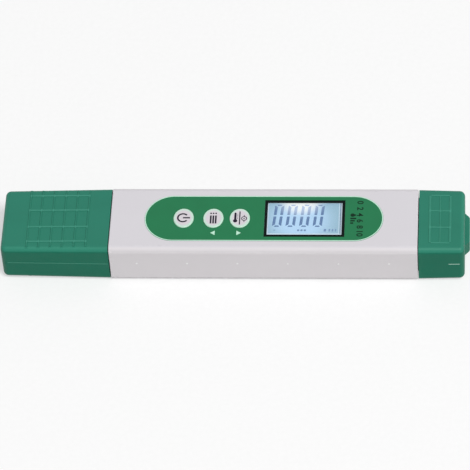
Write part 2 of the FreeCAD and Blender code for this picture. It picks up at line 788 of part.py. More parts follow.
def build_seal(label, datum, place, seal_inset):
    """A rubber ring in its groove, nearly round in section."""
    body = new_body(label, datum)
    sketch = new_sketch(body, "YZ_Plane", f"({place} - seal_section / 2)")
    draw_section(sketch, seal_inset, "inner_corner")
    draw_section(sketch, f"({seal_inset} + seal_section)", "(inner_corner - seal_section / 2)")
    pad(sketch, "seal_section")
    ends = [number(f"{place} - seal_section / 2"), number(f"{place} + seal_section / 2")]
    round_edges(body, "seal_section * 0.42", lambda edge: any(lies_at(edge, "X", end) for end in ends))


def build_probe_housing():
    body = new_body("probe_housing", "cap_length")
    build_neck(body, -1, "cap_neck_reach", CAP_NECK_INSET, "cap_seal_place", CAP_SEAL_INSET)
    barrel = new_sketch(body, "YZ_Plane", f"-{BARREL_END}")
    draw_circle(barrel, "0", "0", "barrel_radius")
    pad(barrel, "barrel_reach + rib_bedding")
    seat = new_sketch(body, "YZ_Plane", f"-({BARREL_END} + guard_seat)")
    draw_circle(seat, "0", "0", f"({GUARD_BORE} - guard_fit)")
    pad(seat, "guard_seat + rib_bedding")
    bores = new_sketch(body, "YZ_Plane", f"-({BARREL_END} + guard_seat)")
    for side in ("", "-"):
        draw_circle(bores, f"{side}pin_spread", PIN_HEIGHT, "(pin_radius + pin_fit)")
    draw_circle(bores, "0", SENSOR_HEIGHT, "(sensor_radius + pin_fit)")
    pocket(bores, f"{BARREL_END} + guard_seat + spigot_reach", reverse=True)


def build_probe_guard():
    """A slotted sleeve on the end of the barrel, open at its tip."""
    body = new_body("probe_guard", "cap_length")
    root = f"({BARREL_END} + guard_fit)"
    tip = f"({root} + guard_length)"
    ring = new_sketch(body, "YZ_Plane", f"-{tip}")
    draw_circle(ring, "0", "0", "barrel_radius")
    draw_circle(ring, "0", "0", GUARD_BORE)
    pad(ring, "guard_length")
    outer = number("barrel_radius")
    tip_plane = local_edges(body, "X", f"-{tip}")
    round_edges(body, "guard_edge", lambda edge: tip_plane(edge) and edge.BoundBox.YMax > outer - 1e-3)
    slot = new_sketch(body, "XY_Plane")
    start = f"(guard_slot_place - {tip})"
    draw_stadium(slot, start, f"({start} + guard_slot_length)", "(guard_slot_width / 2)")
    cut = pocket(slot, "barrel_radius + 1", reverse=True)
    before = volume_of(body)
    pattern = body.newObject("PartDesign::PolarPattern", "Slots")
    pattern.Originals = [cut]
    pattern.Axis = (origin_plane(body, "X_Axis"), [""])
    pattern.Angle = 360
    bind(pattern, "Occurrences", "guard_slot_count")
    body.Tip = pattern
    must_change(body, before, False, "the slots")


def build_rod(label, y, z, radius, reach, tail, tip_share):
    """A straight rod through the probe housing with a rounded tip."""
    body = new_body(label, "cap_length")
    sketch = new_sketch(body, "YZ_Plane", f"-{reach}")
    draw_circle(sketch, y, z, radius)
    pad(sketch, f"{reach} + {tail}")
    round_edges(body, f"{radius} * {tip_share}", local_edges(body, "X", f"-{reach}"))


def build_sensor_lead(label, side):
    """A thin lead from the sensor's tail, straight out and up to the board's underside."""
    body = new_body(label, "cap_length", across=f"{side} * lead_spread")
    start = "sensor_tail"
    turn = f"({start} + lead_run)"
    column = f"({turn} + lead_bend)"
    low = SENSOR_HEIGHT
    vector = FreeCAD.Vector
    path = new_sketch(body, "XZ_Plane")
    radius = number("lead_bend")
    level = number(low)
    quarter = FreeCAD.Units.Quantity("90 deg").getValueAs("rad").Value
    run = path.addGeometry(Part.LineSegment(vector(number(start), level, 0), vector(number(turn), level, 0)))
    centre = vector(number(turn), level + radius, 0)
    circle = Part.Circle(centre, vector(0, 0, 1), radius)
    bend = path.addGeometry(Part.ArcOfCircle(circle, -quarter, 0))
    rise = path.addGeometry(Part.LineSegment(vector(number(column), level + radius, 0),
                                             vector(number(column), number(BOARD_BOTTOM), 0)))
    path.addConstraint(Sketcher.Constraint("Tangent", run, 2, bend, 1))
    path.addConstraint(Sketcher.Constraint("Tangent", bend, 2, rise, 1))
    path.addConstraint(Sketcher.Constraint("Horizontal", run))
    path.addConstraint(Sketcher.Constraint("Vertical", rise))
    fix_point(path, run, 1, start, low)
    fix_point(path, rise, 2, column, BOARD_BOTTOM)
    index = path.addConstraint(Sketcher.Constraint("Radius", bend, radius))
    bind(path, f"Constraints[{index}]", "lead_bend")
    profile = new_sketch(body, "YZ_Plane", start)
    draw_circle(profile, "0", low, "lead_radius")
    pipe = body.newObject("PartDesign::AdditivePipe", "Lead")
    pipe.Profile = profile
    pipe.Spine = (path, [f"Edge{index}" for index in (1, 2, 3)])
    must_change(body, 0.0, True, "the lead")


# Label, window and display

def build_face_label():
    body = new_body("face_label", "cap_length", rise=f"({HALF_DEPTH} - label_recess)")
    sketch = new_sketch(body, "XY_Plane")
    draw_stadium(sketch, LABEL_START, LABEL_END, "label_half_width")
    half_length = "(frame_length / 2 + window_fit)"
    half_width = "(frame_width / 2 + window_fit)"
    draw_rectangle(sketch, f"{DISPLAY_MIDDLE} - {half_length}", f"{DISPLAY_MIDDLE} + {half_length}",
                   f"-{half_width}", half_width)
    for place in KEYS.values():
        draw_oval(sketch, place, "key_length", "key_width")
    pad(sketch, "label_thickness")


def display_plate(label, rise, length, width, thickness):
    return plate(label, "cap_length", rise, f"{DISPLAY_MIDDLE} - {length} / 2",
                 f"{DISPLAY_MIDDLE} + {length} / 2", f"({width} / 2)", thickness)


def build_display_stack():
    display_plate("display_lens", LENS_SEAT, "frame_length", "frame_width", "lens_thickness")

    frame = new_body("window_frame", "cap_length", rise=LENS_TOP)
    sketch = new_sketch(frame, "XY_Plane")
    for shrink in ("0", "frame_border"):
        half_length = f"(frame_length / 2 - {shrink})"
        half_width = f"(frame_width / 2 - {shrink})"
        draw_rectangle(sketch, f"{DISPLAY_MIDDLE} - {half_length}", f"{DISPLAY_MIDDLE} + {half_length}",
                       f"-{half_width}", half_width)
    pad(sketch, "frame_thickness")

    glass = display_plate("lcd_glass", GLASS_BOTTOM, GLASS_LENGTH, GLASS_WIDTH, "glass_thickness / 2")
    upper = new_sketch(glass, "XY_Plane", "glass_thickness / 2")
    draw_rectangle(upper, f"{DISPLAY_MIDDLE} - {GLASS_LENGTH} / 2 + glass_ledge",
                   f"{DISPLAY_MIDDLE} + {GLASS_LENGTH} / 2", f"-{GLASS_WIDTH} / 2", f"{GLASS_WIDTH} / 2")
    pad(upper, "glass_thickness / 2")

    light_width = f"({GLASS_WIDTH} - 2 * zebra_width - 2 * backlight_gap)"
    light_height = f"({GLASS_BOTTOM} - {BOARD_TOP})"
    light = display_plate("lcd_backlight", BOARD_TOP, f"({GLASS_LENGTH} - backlight_lamp)", light_width,
                          light_height)
    lamp = new_sketch(light, "XY_Plane")
    start = f"({DISPLAY_MIDDLE} + {GLASS_LENGTH} / 2 - backlight_lamp / 2)"
    draw_rectangle(lamp, f"{start} - rib_bedding", f"{start} + backlight_lamp / 2",
                   f"-{light_width} / 4", f"{light_width} / 4")
    pad(lamp, f"{light_height} / 2")

    for label, side in (("front_zebra_strip", "-1"), ("rear_zebra_strip", "1")):
        strip = new_body(label, "cap_length", rise=BOARD_TOP)
        sketch = new_sketch(strip, "XY_Plane")
        outer = f"{side} * {GLASS_WIDTH} / 2"
        inner = f"{side} * ({GLASS_WIDTH} / 2 - zebra_width)"
        half = "zebra_length / 2"
        draw_rectangle(sketch, f"{DISPLAY_MIDDLE} - {half}", f"{DISPLAY_MIDDLE} + {half}", inner, outer)
        pad(sketch, light_height)

    carrier = new_body("lcd_carrier", "cap_length", rise=BOARD_TOP)
    sketch = new_sketch(carrier, "XY_Plane")
    for grow in ("carrier_gap", "(carrier_gap + carrier_wall)"):
        half_length = f"({GLASS_LENGTH} / 2 + {grow})"
        half_width = f"({GLASS_WIDTH} / 2 + {grow})"
        draw_rectangle(sketch, f"{DISPLAY_MIDDLE} - {half_length}", f"{DISPLAY_MIDDLE} + {half_length}",
                       f"-{half_width}", half_width)
    pad(sketch, f"{SHELL_INSIDE} - {BOARD_TOP} - carrier_gap")


# Keys and switches

def build_key(key, place):
    """An oval key cap with a retaining flange under the shell."""
    body = new_body(f"{key}_button", f"cap_length + {place}")
    cap = new_sketch(body, "XY_Plane", FLANGE_TOP)
    draw_oval(cap, "0", "(key_length - 2 * key_gap)", "(key_width - 2 * key_gap)")
    top = f"({HALF_DEPTH} + key_proud)"
    pad(cap, f"{top} - {FLANGE_TOP}")
    round_edges(body, "key_edge", local_edges(body, "Z", top))
    flange = new_sketch(body, "XY_Plane", FLANGE_BOTTOM)
    draw_oval(flange, "0", "(key_length + 2 * key_flange)", "(key_width + 2 * key_flange)")
    pad(flange, "key_flange_thickness")


def build_switch(key, place):
    """A small square push switch on the board with a round well for its plunger."""
    body = new_body(f"{key}_switch", f"cap_length + {place}", rise=BOARD_TOP)
    half = "(switch_size / 2)"
    case = new_sketch(body, "XY_Plane")
    draw_round_rectangle(case, f"-{half}", half, f"-{half}", half, "switch_size / 12")
    pad(case, "switch_height")
    for side in ("", "-"):
        legs = new_sketch(body, "XY_Plane")
        for flank in ("", "-"):
            middle = f"{flank}switch_size / 3"
            inner = f"{side}({half} - rib_bedding)"
            outer = f"{side}({half} + switch_leg)"
            draw_rectangle(legs, inner, outer, f"{middle} - switch_leg / 2", f"{middle} + switch_leg / 2")
        pad(legs, "strip")
    well = new_sketch(body, "XY_Plane", "switch_height")
    draw_circle(well, "0", "0", "(plunger_radius + plunger_fit)")
    pocket(well, "plunger_depth + key_travel + plunger_touch")


def build_plunger(key, place):
    """The switch's round plunger, which the key pushes and which moves with it."""
    body = new_body(f"{key}_plunger", f"cap_length + {place}")
    sketch = new_sketch(body, "XY_Plane", f"({SWITCH_TOP} - plunger_depth)")
    draw_circle(sketch, "0", "0", "plunger_radius")
    pad(sketch, f"{FLANGE_BOTTOM} - {SWITCH_TOP} + plunger_depth")


# Circuit board

def build_main_board():
    body = plate("main_board", "cap_length", BOARD_BOTTOM, "board_start", BOARD_END, "(board_width / 2)",
                 "board_thickness", corner="board_corner")
    holes = new_sketch(body, "XY_Plane", "board_thickness")
    draw_at_bosses(holes, "board_hole_radius")
    pocket(holes, "board_thickness")


def build_board_screws():
    """Pan-head screws from under the board up into the bosses."""
    body = new_body("board_screws", "cap_length", rise=BOARD_BOTTOM)
    heads = new_sketch(body, "XY_Plane")
    draw_at_bosses(heads, "screw_head_radius")
    pad(heads, "screw_head_height", reverse=True)
    shanks = new_sketch(body, "XY_Plane", "-screw_head_height / 2")
    draw_at_bosses(shanks, "screw_radius")
    pad(shanks, "screw_head_height / 2 + board_thickness + screw_grip")


def build_board_parts():
    """The chips and the crystal under the board."""
    half = "(controller_size / 2)"
    controller = new_body("controller_chip", f"cap_length + {DISPLAY_MIDDLE} - controller_offset",
                          rise=f"({BOARD_BOTTOM} - controller_height)")
    sketch = new_sketch(controller, "XY_Plane")
    draw_rectangle(sketch, f"-{half}", half, f"-{half}", half)
    pad(sketch, "controller_height")

    amplifier = new_body("amplifier_chip", f"cap_length + {POWER_KEY} - amplifier_offset",
                         rise=f"({BOARD_BOTTOM} - amplifier_height)")
    sketch = new_sketch(amplifier, "XY_Plane")
    draw_rectangle(sketch, "-amplifier_length / 2", "amplifier_length / 2", "-amplifier_width / 2",
                   "amplifier_width / 2")
    pad(sketch, "amplifier_height")

    crystal = new_body("timing_crystal", f"cap_length + {WINDOW_REAR} - crystal_margin",
                       rise=f"({BOARD_BOTTOM} - crystal_radius)")
    sketch = new_sketch(crystal, "YZ_Plane", "-crystal_length / 2")
    draw_circle(sketch, "0", "0", "crystal_radius")
    pad(sketch, "crystal_length")
    ends = [number("-crystal_length / 2"), number("crystal_length / 2")]
    round_edges(crystal, "crystal_radius / 4", lambda edge: any(lies_at(edge, "X", end) for end in ends))


# Battery compartment

def build_battery_holder():
    body = new_body("battery_holder", BODY_END)
    build_neck(body, 1, "cover_neck_reach", COVER_NECK_INSET, "cover_seal_place", COVER_SEAL_INSET)
    mouth = new_sketch(body, "YZ_Plane", "cover_neck_reach")
    for side in ("", "-"):
        draw_circle(mouth, f"{side}cell_spread", "0", "(cell_radius + cell_gap)")
    pocket(mouth, f"cover_neck_reach - {CELL_SEAT}")
    wells = new_sketch(body, "YZ_Plane", CELL_SEAT)
    for side in ("", "-"):
        draw_circle(wells, f"{side}cell_spread", "0", "spring_bore_radius")
    pocket(wells, "spring_bore_depth")
    slots = new_sketch(body, "YZ_Plane", SPRING_SEAT)
    for side in ("", "-"):
        middle = f"{side}cell_spread"
        half = "(strip_width / 2 + slot_gap)"
        draw_rectangle(slots, f"{middle} - {half}", f"{middle} + {half}", f"{TAIL_TOP} - strip - slot_gap",
                       f"{TAIL_TOP} + slot_gap")
    pocket(slots, f"{SPRING_SEAT} + spigot_reach")


def build_cell(number_in_bore, side_name, side):
    """A button cell on its side, its smaller face toward the board."""
    body = new_body(f"{side_name}_cell_{number_in_bore + 1}", BODY_END, across=f"{side} * cell_spread")
    start = f"({CELL_SEAT} + cell_gap + {number_in_bore} * cell_height)"
    can = new_sketch(body, "YZ_Plane", f"({start} + cell_step)")
    draw_circle(can, "0", "0", "cell_radius")
    pad(can, "cell_height - cell_step")
    ends = [number(f"{start} + cell_step"), number(f"{start} + cell_height")]
    round_edges(body, "cell_edge", lambda edge: any(lies_at(edge, "X", end) for end in ends))
    lid = new_sketch(body, "YZ_Plane", start)
    draw_circle(lid, "0", "0", "(cell_radius - cell_rim)")
    pad(lid, "cell_step + cell_edge")


def build_terminal(label, side):
    """A bent leaf spring behind the cells, with a tail that runs under the board's rear edge."""
    body = new_body(label, BODY_END, across=f"{side} * cell_spread")
    seat = SPRING_SEAT
    low = "(-0.8 * spring_bore_radius)"
    top = TAIL_TOP
    reach = f"({CELL_SEAT} + cell_gap / 2)"
    tail = f"({BOARD_REAR} - tail_reach)"
    sketch = new_sketch(body, "XZ_Plane")
    draw_polygon(sketch, [
        (tail, top),
        (tail, f"{top} - strip"),
        (seat, f"{top} - strip"),
        (seat, low),
        (f"{seat} + strip", low),
        (reach, "-strip"),
        (f"{reach} - spring_bore_depth / 4", "spring_bore_radius / 2"),
        (f"{reach} - spring_bore_depth / 4 - strip", "spring_bore_radius / 2"),
        (f"{reach} - strip", "-strip"),
        (f"{seat} + strip", f"{low} + 2 * strip"),
        (f"{seat} + strip", top),
    ])
    pad(sketch, "strip_width", both_ways=True)


def build_cover_contact():
    """A sprung plate in the cover that joins the two stacks of cells."""
    body = new_body("cover_contact", BODY_END)
    back = new_sketch(body, "YZ_Plane", f"({COVER_FLOOR} - strip)")
    draw_round_rectangle(back, "-contact_half_width", "contact_half_width", "-contact_half_height",
                         "contact_half_height", "contact_corner")
    pad(back, "strip")
    tip = "(cover_neck_reach - cell_recess + contact_touch)"
    domes = new_sketch(body, "YZ_Plane", tip)
    for side in ("", "-"):
        draw_circle(domes, f"{side}cell_spread", "0", "contact_dome_radius")
    pad(domes, f"{COVER_FLOOR} - strip / 2 - {tip}")
    round_edges(body, "contact_dome_radius / 3", local_edges(body, "X", tip))


# Assembly

build_protective_cap()
build_front_shell()
build_back_shell()
build_battery_cover()
build_face_label()
build_display_stack()
for key, place in KEYS.items():
    build_key(key, place)
    build_switch(key, place)
    build_plunger(key, place)
build_main_board()
build_board_screws()
build_board_parts()
build_probe_housing()
build_probe_guard()
build_seal("cap_seal", "cap_length", "(-1 * cap_seal_place)", CAP_SEAL_INSET)
build_seal("cover_seal", BODY_END, "cover_seal_place", COVER_SEAL_INSET)
build_rod("left_electrode", "-pin_spread", PIN_HEIGHT, "pin_radius", "pin_reach", "pin_tail", 0.6)
build_rod("right_electrode", "pin_spread", PIN_HEIGHT, "pin_radius", "pin_reach", "pin_tail", 0.6)
build_rod("temperature_sensor", "0", SENSOR_HEIGHT, "sensor_radius", "sensor_reach", "sensor_tail", 0.9)
for label, side in (("left_sensor_lead", "-1"), ("right_sensor_lead", "1")):
    build_sensor_lead(label, side)
build_battery_holder()
for side_name, side in (("left", "-1"), ("right", "1")):
    for number_in_bore in range(int(number("cells_per_bore"))):
        build_cell(number_in_bore, side_name, side)
    build_terminal(f"{side_name}_terminal", side)
build_cover_contact()
doc.recompute()

for item in doc.Objects:
    if "Invalid" in item.State or "Error" in item.State:
        raise RuntimeError(f"{item.Label} is not built: {item.State}")
for body in SUB_PARTS:
    wanted = 2 * len(BOSSES) if body.Label == "board_screws" else 1
    if body.Shape.isNull() or not body.Shape.isValid() or len(body.Shape.Solids) != wanted:
        raise RuntimeError(f"{body.Label} is not the valid solid it should be")

os.makedirs("parts", exist_ok=True)
for body in SUB_PARTS:
    body.Shape.exportStep(f"parts/{body.Label}.step")
    box = body.Shape.BoundBox
    print(f"{body.Label:20s} {len(body.Shape.Solids)} solids {body.Shape.Volume:9.2f} mm3 "
          f"X {box.XMin:8.2f} {box.XMax:8.2f} Y {box.YMin:7.2f} {box.YMax:7.2f} "
          f"Z {box.ZMin:6.2f} {box.ZMax:6.2f}")
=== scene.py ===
"""Looks of a water quality test pen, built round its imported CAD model.

The pen lies on its back with the display up. X runs from the probe cap (-X) to the battery cover (+X).
Every length is in metres, in the frame of the CAD model.
"""

import math

import bmesh
import bpy
from bpy.props import FloatProperty, FloatVectorProperty, IntProperty, PointerProperty
from mathutils import Matrix, Vector


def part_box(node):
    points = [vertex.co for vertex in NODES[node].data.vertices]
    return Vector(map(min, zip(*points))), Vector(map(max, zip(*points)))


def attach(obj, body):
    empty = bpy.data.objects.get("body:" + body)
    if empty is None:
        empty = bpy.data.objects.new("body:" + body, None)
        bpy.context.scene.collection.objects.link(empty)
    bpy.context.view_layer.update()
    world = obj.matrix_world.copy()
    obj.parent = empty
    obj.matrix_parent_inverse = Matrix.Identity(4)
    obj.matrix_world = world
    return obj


bl_info = {
    "name": "Water Quality Test Pen",
    "version": (1, 0, 0),
    "blender": (4, 5, 0),
    "location": "3D View > Sidebar > Test Pen",
    "description": "Finishes, printed marks, display figures and stage for a water quality test pen",
    "category": "Object",
}

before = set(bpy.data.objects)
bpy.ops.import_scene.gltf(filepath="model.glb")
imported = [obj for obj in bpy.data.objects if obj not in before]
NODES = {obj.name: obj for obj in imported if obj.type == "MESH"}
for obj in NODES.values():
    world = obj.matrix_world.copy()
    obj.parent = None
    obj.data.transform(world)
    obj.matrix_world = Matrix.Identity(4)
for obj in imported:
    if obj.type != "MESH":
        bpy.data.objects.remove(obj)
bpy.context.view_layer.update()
MM = 0.001

LABEL_LOW, LABEL_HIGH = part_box("face_label")
WINDOW_LOW, WINDOW_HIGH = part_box("window_frame")
GLASS_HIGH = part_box("lcd_glass")[1]
SHELL_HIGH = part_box("front_shell")[1]
SIDE_FACE = min(SHELL_HIGH.y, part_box("back_shell")[1].y)
CAP_LOW, CAP_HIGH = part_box("protective_cap")
COVER_LOW, COVER_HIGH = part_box("battery_cover")
WINDOW_MIDDLE = (WINDOW_LOW.x + WINDOW_HIGH.x) / 2
# How the faces of the hoods fall away from their mouths, and how far they lie under the body's face there
CAP_DRAFT = math.tan(math.radians(0.8))
COVER_DRAFT = math.tan(math.radians(0.9))
HOOD_STEP = 0.15 * MM


def key_middle(key):
    """The middle of a key along the pen."""
    low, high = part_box(f"{key}_button")
    return (low.x + high.x) / 2


def screen_colour(red, green, blue):
    """The linear colour of a screen colour given from 0 to 255."""
    shares = (red / 255, green / 255, blue / 255)
    return tuple(s / 12.92 if s <= 0.04045 else ((s + 0.055) / 1.055) ** 2.4 for s in shares)


# Sizes and colours that a user may change


def colour_setting(name, description, red, green, blue):
    return FloatVectorProperty(
        name=name,
        description=description,
        default=screen_colour(red, green, blue),
        subtype="COLOR",
        size=3,
        min=0.0,
        max=1.0,
    )


def length_setting(name, description, millimetres):
    return FloatProperty(
        name=name, description=description, default=millimetres * MM, unit="LENGTH", precision=5
    )


def angle_setting(name, description, degrees):
    return FloatProperty(
        name=name, description=description, default=math.radians(degrees), subtype="ANGLE"
    )


class TestPenColours(bpy.types.PropertyGroup):
    shell: colour_setting("Shell", "White of the two body mouldings", 215, 212, 217)
    hood: colour_setting("Hood", "Green of the cap and the battery cover", 40, 121, 100)
    label: colour_setting("Label", "Green of the printed label", 28, 117, 74)
    ink: colour_setting("Ink", "Dark print on the label", 2, 40, 22)
    pale_print: colour_setting("Pale print", "Pale edge and arrows on the label", 192, 234, 212)
    key_face: colour_setting("Key face", "Middle of the key tops", 216, 210, 216)
    key_rim: colour_setting("Key rim", "Pale green edge of the key tops", 196, 232, 212)
    key_symbol: colour_setting("Key symbol", "Print on the keys", 26, 20, 38)
    # The mould line is a real bead; its pale colour is a painted highlight along it
    mould_line: colour_setting("Mould line", "Pale seam along the sides of the hoods", 80, 156, 134)
    # Painted glint: a short pale dash on the side of the battery cover
    painted_glint: colour_setting("Painted glint", "Pale dash of painted light on the cover's side", 196, 236, 220)
    # Painted highlight laid on the crests of the hoods' ribs
    rib_highlight: colour_setting("Rib highlight", "Crests of the hoods' ribs", 64, 143, 122)
    # Painted highlight laid on the tops of the pips
    pip_highlight: colour_setting("Pip highlight", "Tops of the pips on the shells' sides", 255, 255, 255)
    display: colour_setting("Display", "Lit display away from its lamp", 154, 191, 212)
    display_halo: colour_setting("Display halo", "Lit display in its middle", 184, 219, 250)
    display_glow: colour_setting("Display glow", "Lit display next to its lamp", 250, 255, 255)
    display_rim: colour_setting("Display rim", "Bare glass round the display's film", 208, 228, 242)
    figure: colour_setting("Figures", "Dark segments of the display", 95, 127, 172)
    small_figure: colour_setting("Small marks", "Fine marks under the figures", 116, 146, 188)


class TestPenSizes(bpy.types.PropertyGroup):
    ink_height: length_setting("Ink height", "Thickness of the printed marks", 0.02)
    label_edge: length_setting("Label edge", "Width of the label's pale edge", 0.4)
    figure_width: length_setting("Figure width", "Width of one figure of the display", 3.65)
    figure_height: length_setting("Figure height", "Height of one figure of the display", 11.4)
    figure_bar: length_setting("Figure bar", "Width of a figure's segments", 1.12)
    figure_pitch: length_setting("Figure pitch", "Distance from one figure to the next", 5.35)
    figure_start: length_setting("Figure start", "Left end of the figures, from the window's middle", -12.9)
    figure_foot: length_setting("Figure foot", "Lower end of the figures", -3.4)
    figure_slant: angle_setting("Figure slant", "Lean of the figures to the right", 5.2)
    figure_count: IntProperty(
        name="Figures", description="How many figures the display shows", default=4, min=1, max=4
    )
    symbol_line: length_setting("Symbol line", "Line width of the symbols on the keys", 0.66)
    number_size: length_setting("Number size", "Height of the type of the label's numbers", 3.4)
    number_pitch: length_setting("Number pitch", "Distance from one number to the next", 3.15)
    mould_line: length_setting("Mould line", "Height of the pale seam on the hoods", 0.22)


class TestPenStage(bpy.types.PropertyGroup):
    azimuth: angle_setting("Azimuth", "Camera's turn round the pen", 6.2145)
    elevation: angle_setting("Elevation", "Camera's height above the horizon", 50.2216)
    roll: angle_setting("Roll", "Camera's roll about its own axis", -4.6417)
    distance: FloatProperty(
        name="Distance", description="Camera's distance from the pen", default=1.52943, unit="LENGTH"
    )
    lens: FloatProperty(name="Lens", description="Focal length in millimetres", default=295.26)
    sky: FloatProperty(name="Sky", description="Strength of the even light from all round", default=0.36)
    lamp: FloatProperty(
        name="Lamp", description="Power of the soft lamp in front of the pen, in watts", default=188.0
    )
    lamp_side: angle_setting("Lamp side", "Turn of the lamp towards the battery cover", 42.0)
    lamp_height: angle_setting("Lamp height", "Height of the lamp above the horizon", 60.0)
    lamp_distance: FloatProperty(
        name="Lamp distance", description="From the pen to the lamp", default=5.0, unit="LENGTH"
    )


def colours():
    return bpy.context.scene.test_pen_colours


def sizes():
    return bpy.context.scene.test_pen_sizes


# Node trees of the finishes


def new_finish(name, roughness, specular=0.5, metallic=0.0):
    """A material and its shader, with the values that are the same all over set on the shader."""
    material = bpy.data.materials.new(name)
    material.use_nodes = True
    shader = material.node_tree.nodes["Principled BSDF"]
    shader.inputs["Roughness"].default_value = roughness
    shader.inputs["Specular IOR Level"].default_value = specular
    shader.inputs["Metallic"].default_value = metallic
    return material, shader


def plug(tree, value, socket):
    """Link value into the socket if it is another socket, and set it otherwise."""
    if isinstance(value, bpy.types.NodeSocket):
        tree.links.new(value, socket)
    elif socket.type == "RGBA" and len(value) == 3:
        socket.default_value = (*value, 1.0)
    else:
        socket.default_value = value


def number_node(tree, operation, *values):
    """A number worked out from sockets and plain numbers."""
    node = tree.nodes.new("ShaderNodeMath")
    node.operation = operation
    for value, socket in zip(values, node.inputs):
        plug(tree, value, socket)
    return node.outputs[0]


def vector_node(tree, operation, *values):
    """A vector, or its length, worked out from sockets and plain vectors."""
    node = tree.nodes.new("ShaderNodeVectorMath")
    node.operation = operation
    for value, socket in zip(values, node.inputs):
        plug(tree, value, socket)
    return node.outputs["Value" if operation == "LENGTH" else "Vector"]


def along_axes(tree, vector):
    """The parts of a vector, by the names X, Y and Z."""
    parts = tree.nodes.new("ShaderNodeSeparateXYZ")
    tree.links.new(vector, parts.inputs[0])
    return parts.outputs


def piece_coordinates(tree, stretch=(1.0, 1.0, 1.0)):
    """The piece's own coordinates in metres, stretched along each axis."""
    place = tree.nodes.new("ShaderNodeTexCoord").outputs["Object"]
    return place if stretch == (1.0, 1.0, 1.0) else vector_node(tree, "MULTIPLY", place, stretch)


def grain(tree, size, detail=2.0, stretch=(1.0, 1.0, 1.0), distortion=0.0):
    """Noise whose features are about size across."""
    noise = tree.nodes.new("ShaderNodeTexNoise")
    tree.links.new(piece_coordinates(tree, stretch), noise.inputs["Vector"])
    noise.inputs["Scale"].default_value = 1.0 / size
    noise.inputs["Detail"].default_value = detail
    noise.inputs["Distortion"].default_value = distortion
    return noise.outputs["Fac"]


def spread(tree, value, low, high, from_low=0.25, from_high=0.75, smooth=False):
    """value carried from one range to another, and held at the ends."""
    node = tree.nodes.new("ShaderNodeMapRange")
    node.interpolation_type = "SMOOTHSTEP" if smooth else "LINEAR"
    node.clamp = True
    plug(tree, value, node.inputs["Value"])
    limits = {"From Min": from_low, "From Max": from_high, "To Min": low, "To Max": high}
    for socket, number in limits.items():
        node.inputs[socket].default_value = number
    return node.outputs["Result"]


def blend_colours(tree, factor, first, second, mode="MIX"):
    """The first colour carried towards the second by a factor from 0 to 1."""
    node = tree.nodes.new("ShaderNodeMix")
    node.data_type = "RGBA"
    node.blend_type = mode
    plug(tree, factor, node.inputs[0])
    plug(tree, first, node.inputs[6])
    plug(tree, second, node.inputs[7])
    return node.outputs[2]


def relief(tree, shader, height, depth, below=None):
    """Raise the surface by height, over a depth in metres."""
    bump = tree.nodes.new("ShaderNodeBump")
    bump.inputs["Strength"].default_value = 1.0
    bump.inputs["Distance"].default_value = depth
    plug(tree, height, bump.inputs["Height"])
    if below is not None:
        tree.links.new(below, bump.inputs["Normal"])
    tree.links.new(bump.outputs["Normal"], shader.inputs["Normal"])
    return bump.outputs["Normal"]


def shade(colour, share):
    """The colour made lighter or darker by a share of itself."""
    return tuple(min(1.0, part * share) for part in colour)


def distance_from(tree, centre, reach):
    """How far a point is from centre, as a share of the reach along each axis."""
    away = vector_node(tree, "SUBTRACT", piece_coordinates(tree), centre)
    shares = tuple(1.0 / part if part else 0.0 for part in reach)
    return vector_node(tree, "LENGTH", vector_node(tree, "MULTIPLY", away, shares))


def high_spots(tree, axis, middle, slope, foot, top):
    """1 where the surface stands more than top from the middle along an axis, and 0 below foot.

    The slope takes off what the face itself rises along the pen.
    """
    parts = along_axes(tree, piece_coordinates(tree))
    away = number_node(tree, "ABSOLUTE", number_node(tree, "SUBTRACT", parts[axis], middle))
    level = number_node(tree, "MULTIPLY_ADD", parts["X"], -slope, away)
    return spread(tree, level, 0.0, 1.0, foot, top)


def along_lines(tree, mask, lines, reach, elsewhere):
    """The mask near lines at both sides of the pen's middle, and a share of it elsewhere."""
    across = number_node(tree, "ABSOLUTE", along_axes(tree, piece_coordinates(tree))["Y"])
    near = 0.0
    for line in lines:
        away = number_node(tree, "ABSOLUTE", number_node(tree, "SUBTRACT", across, line))
        share = spread(tree, away, 1.0, elsewhere, reach, reach + 0.05 * MM)
        near = number_node(tree, "MAXIMUM", near, share)
    return number_node(tree, "MULTIPLY", mask, near)


def lay_painted_light(material, mask, colour):
    """Lay a colour of painted light or shade over the finish where the mask is 1, in uneven patches."""
    tree = material.node_tree
    socket = tree.nodes["Principled BSDF"].inputs["Base Color"]
    before = socket.links[0].from_socket
    patchiness = grain(tree, 1.4 * MM, detail=4.0)
    share = number_node(tree, "MULTIPLY", mask, spread(tree, patchiness, 0.7, 1.0))
    tree.links.new(blend_colours(tree, share, before, colour), socket)


def face_tilt(tree):
    """1 on a face that looks straight up or down, and 0 on one that stands upright."""
    normal = tree.nodes.new("ShaderNodeTexCoord").outputs["Normal"]
    return number_node(tree, "ABSOLUTE", along_axes(tree, normal)["Z"])


# Finishes


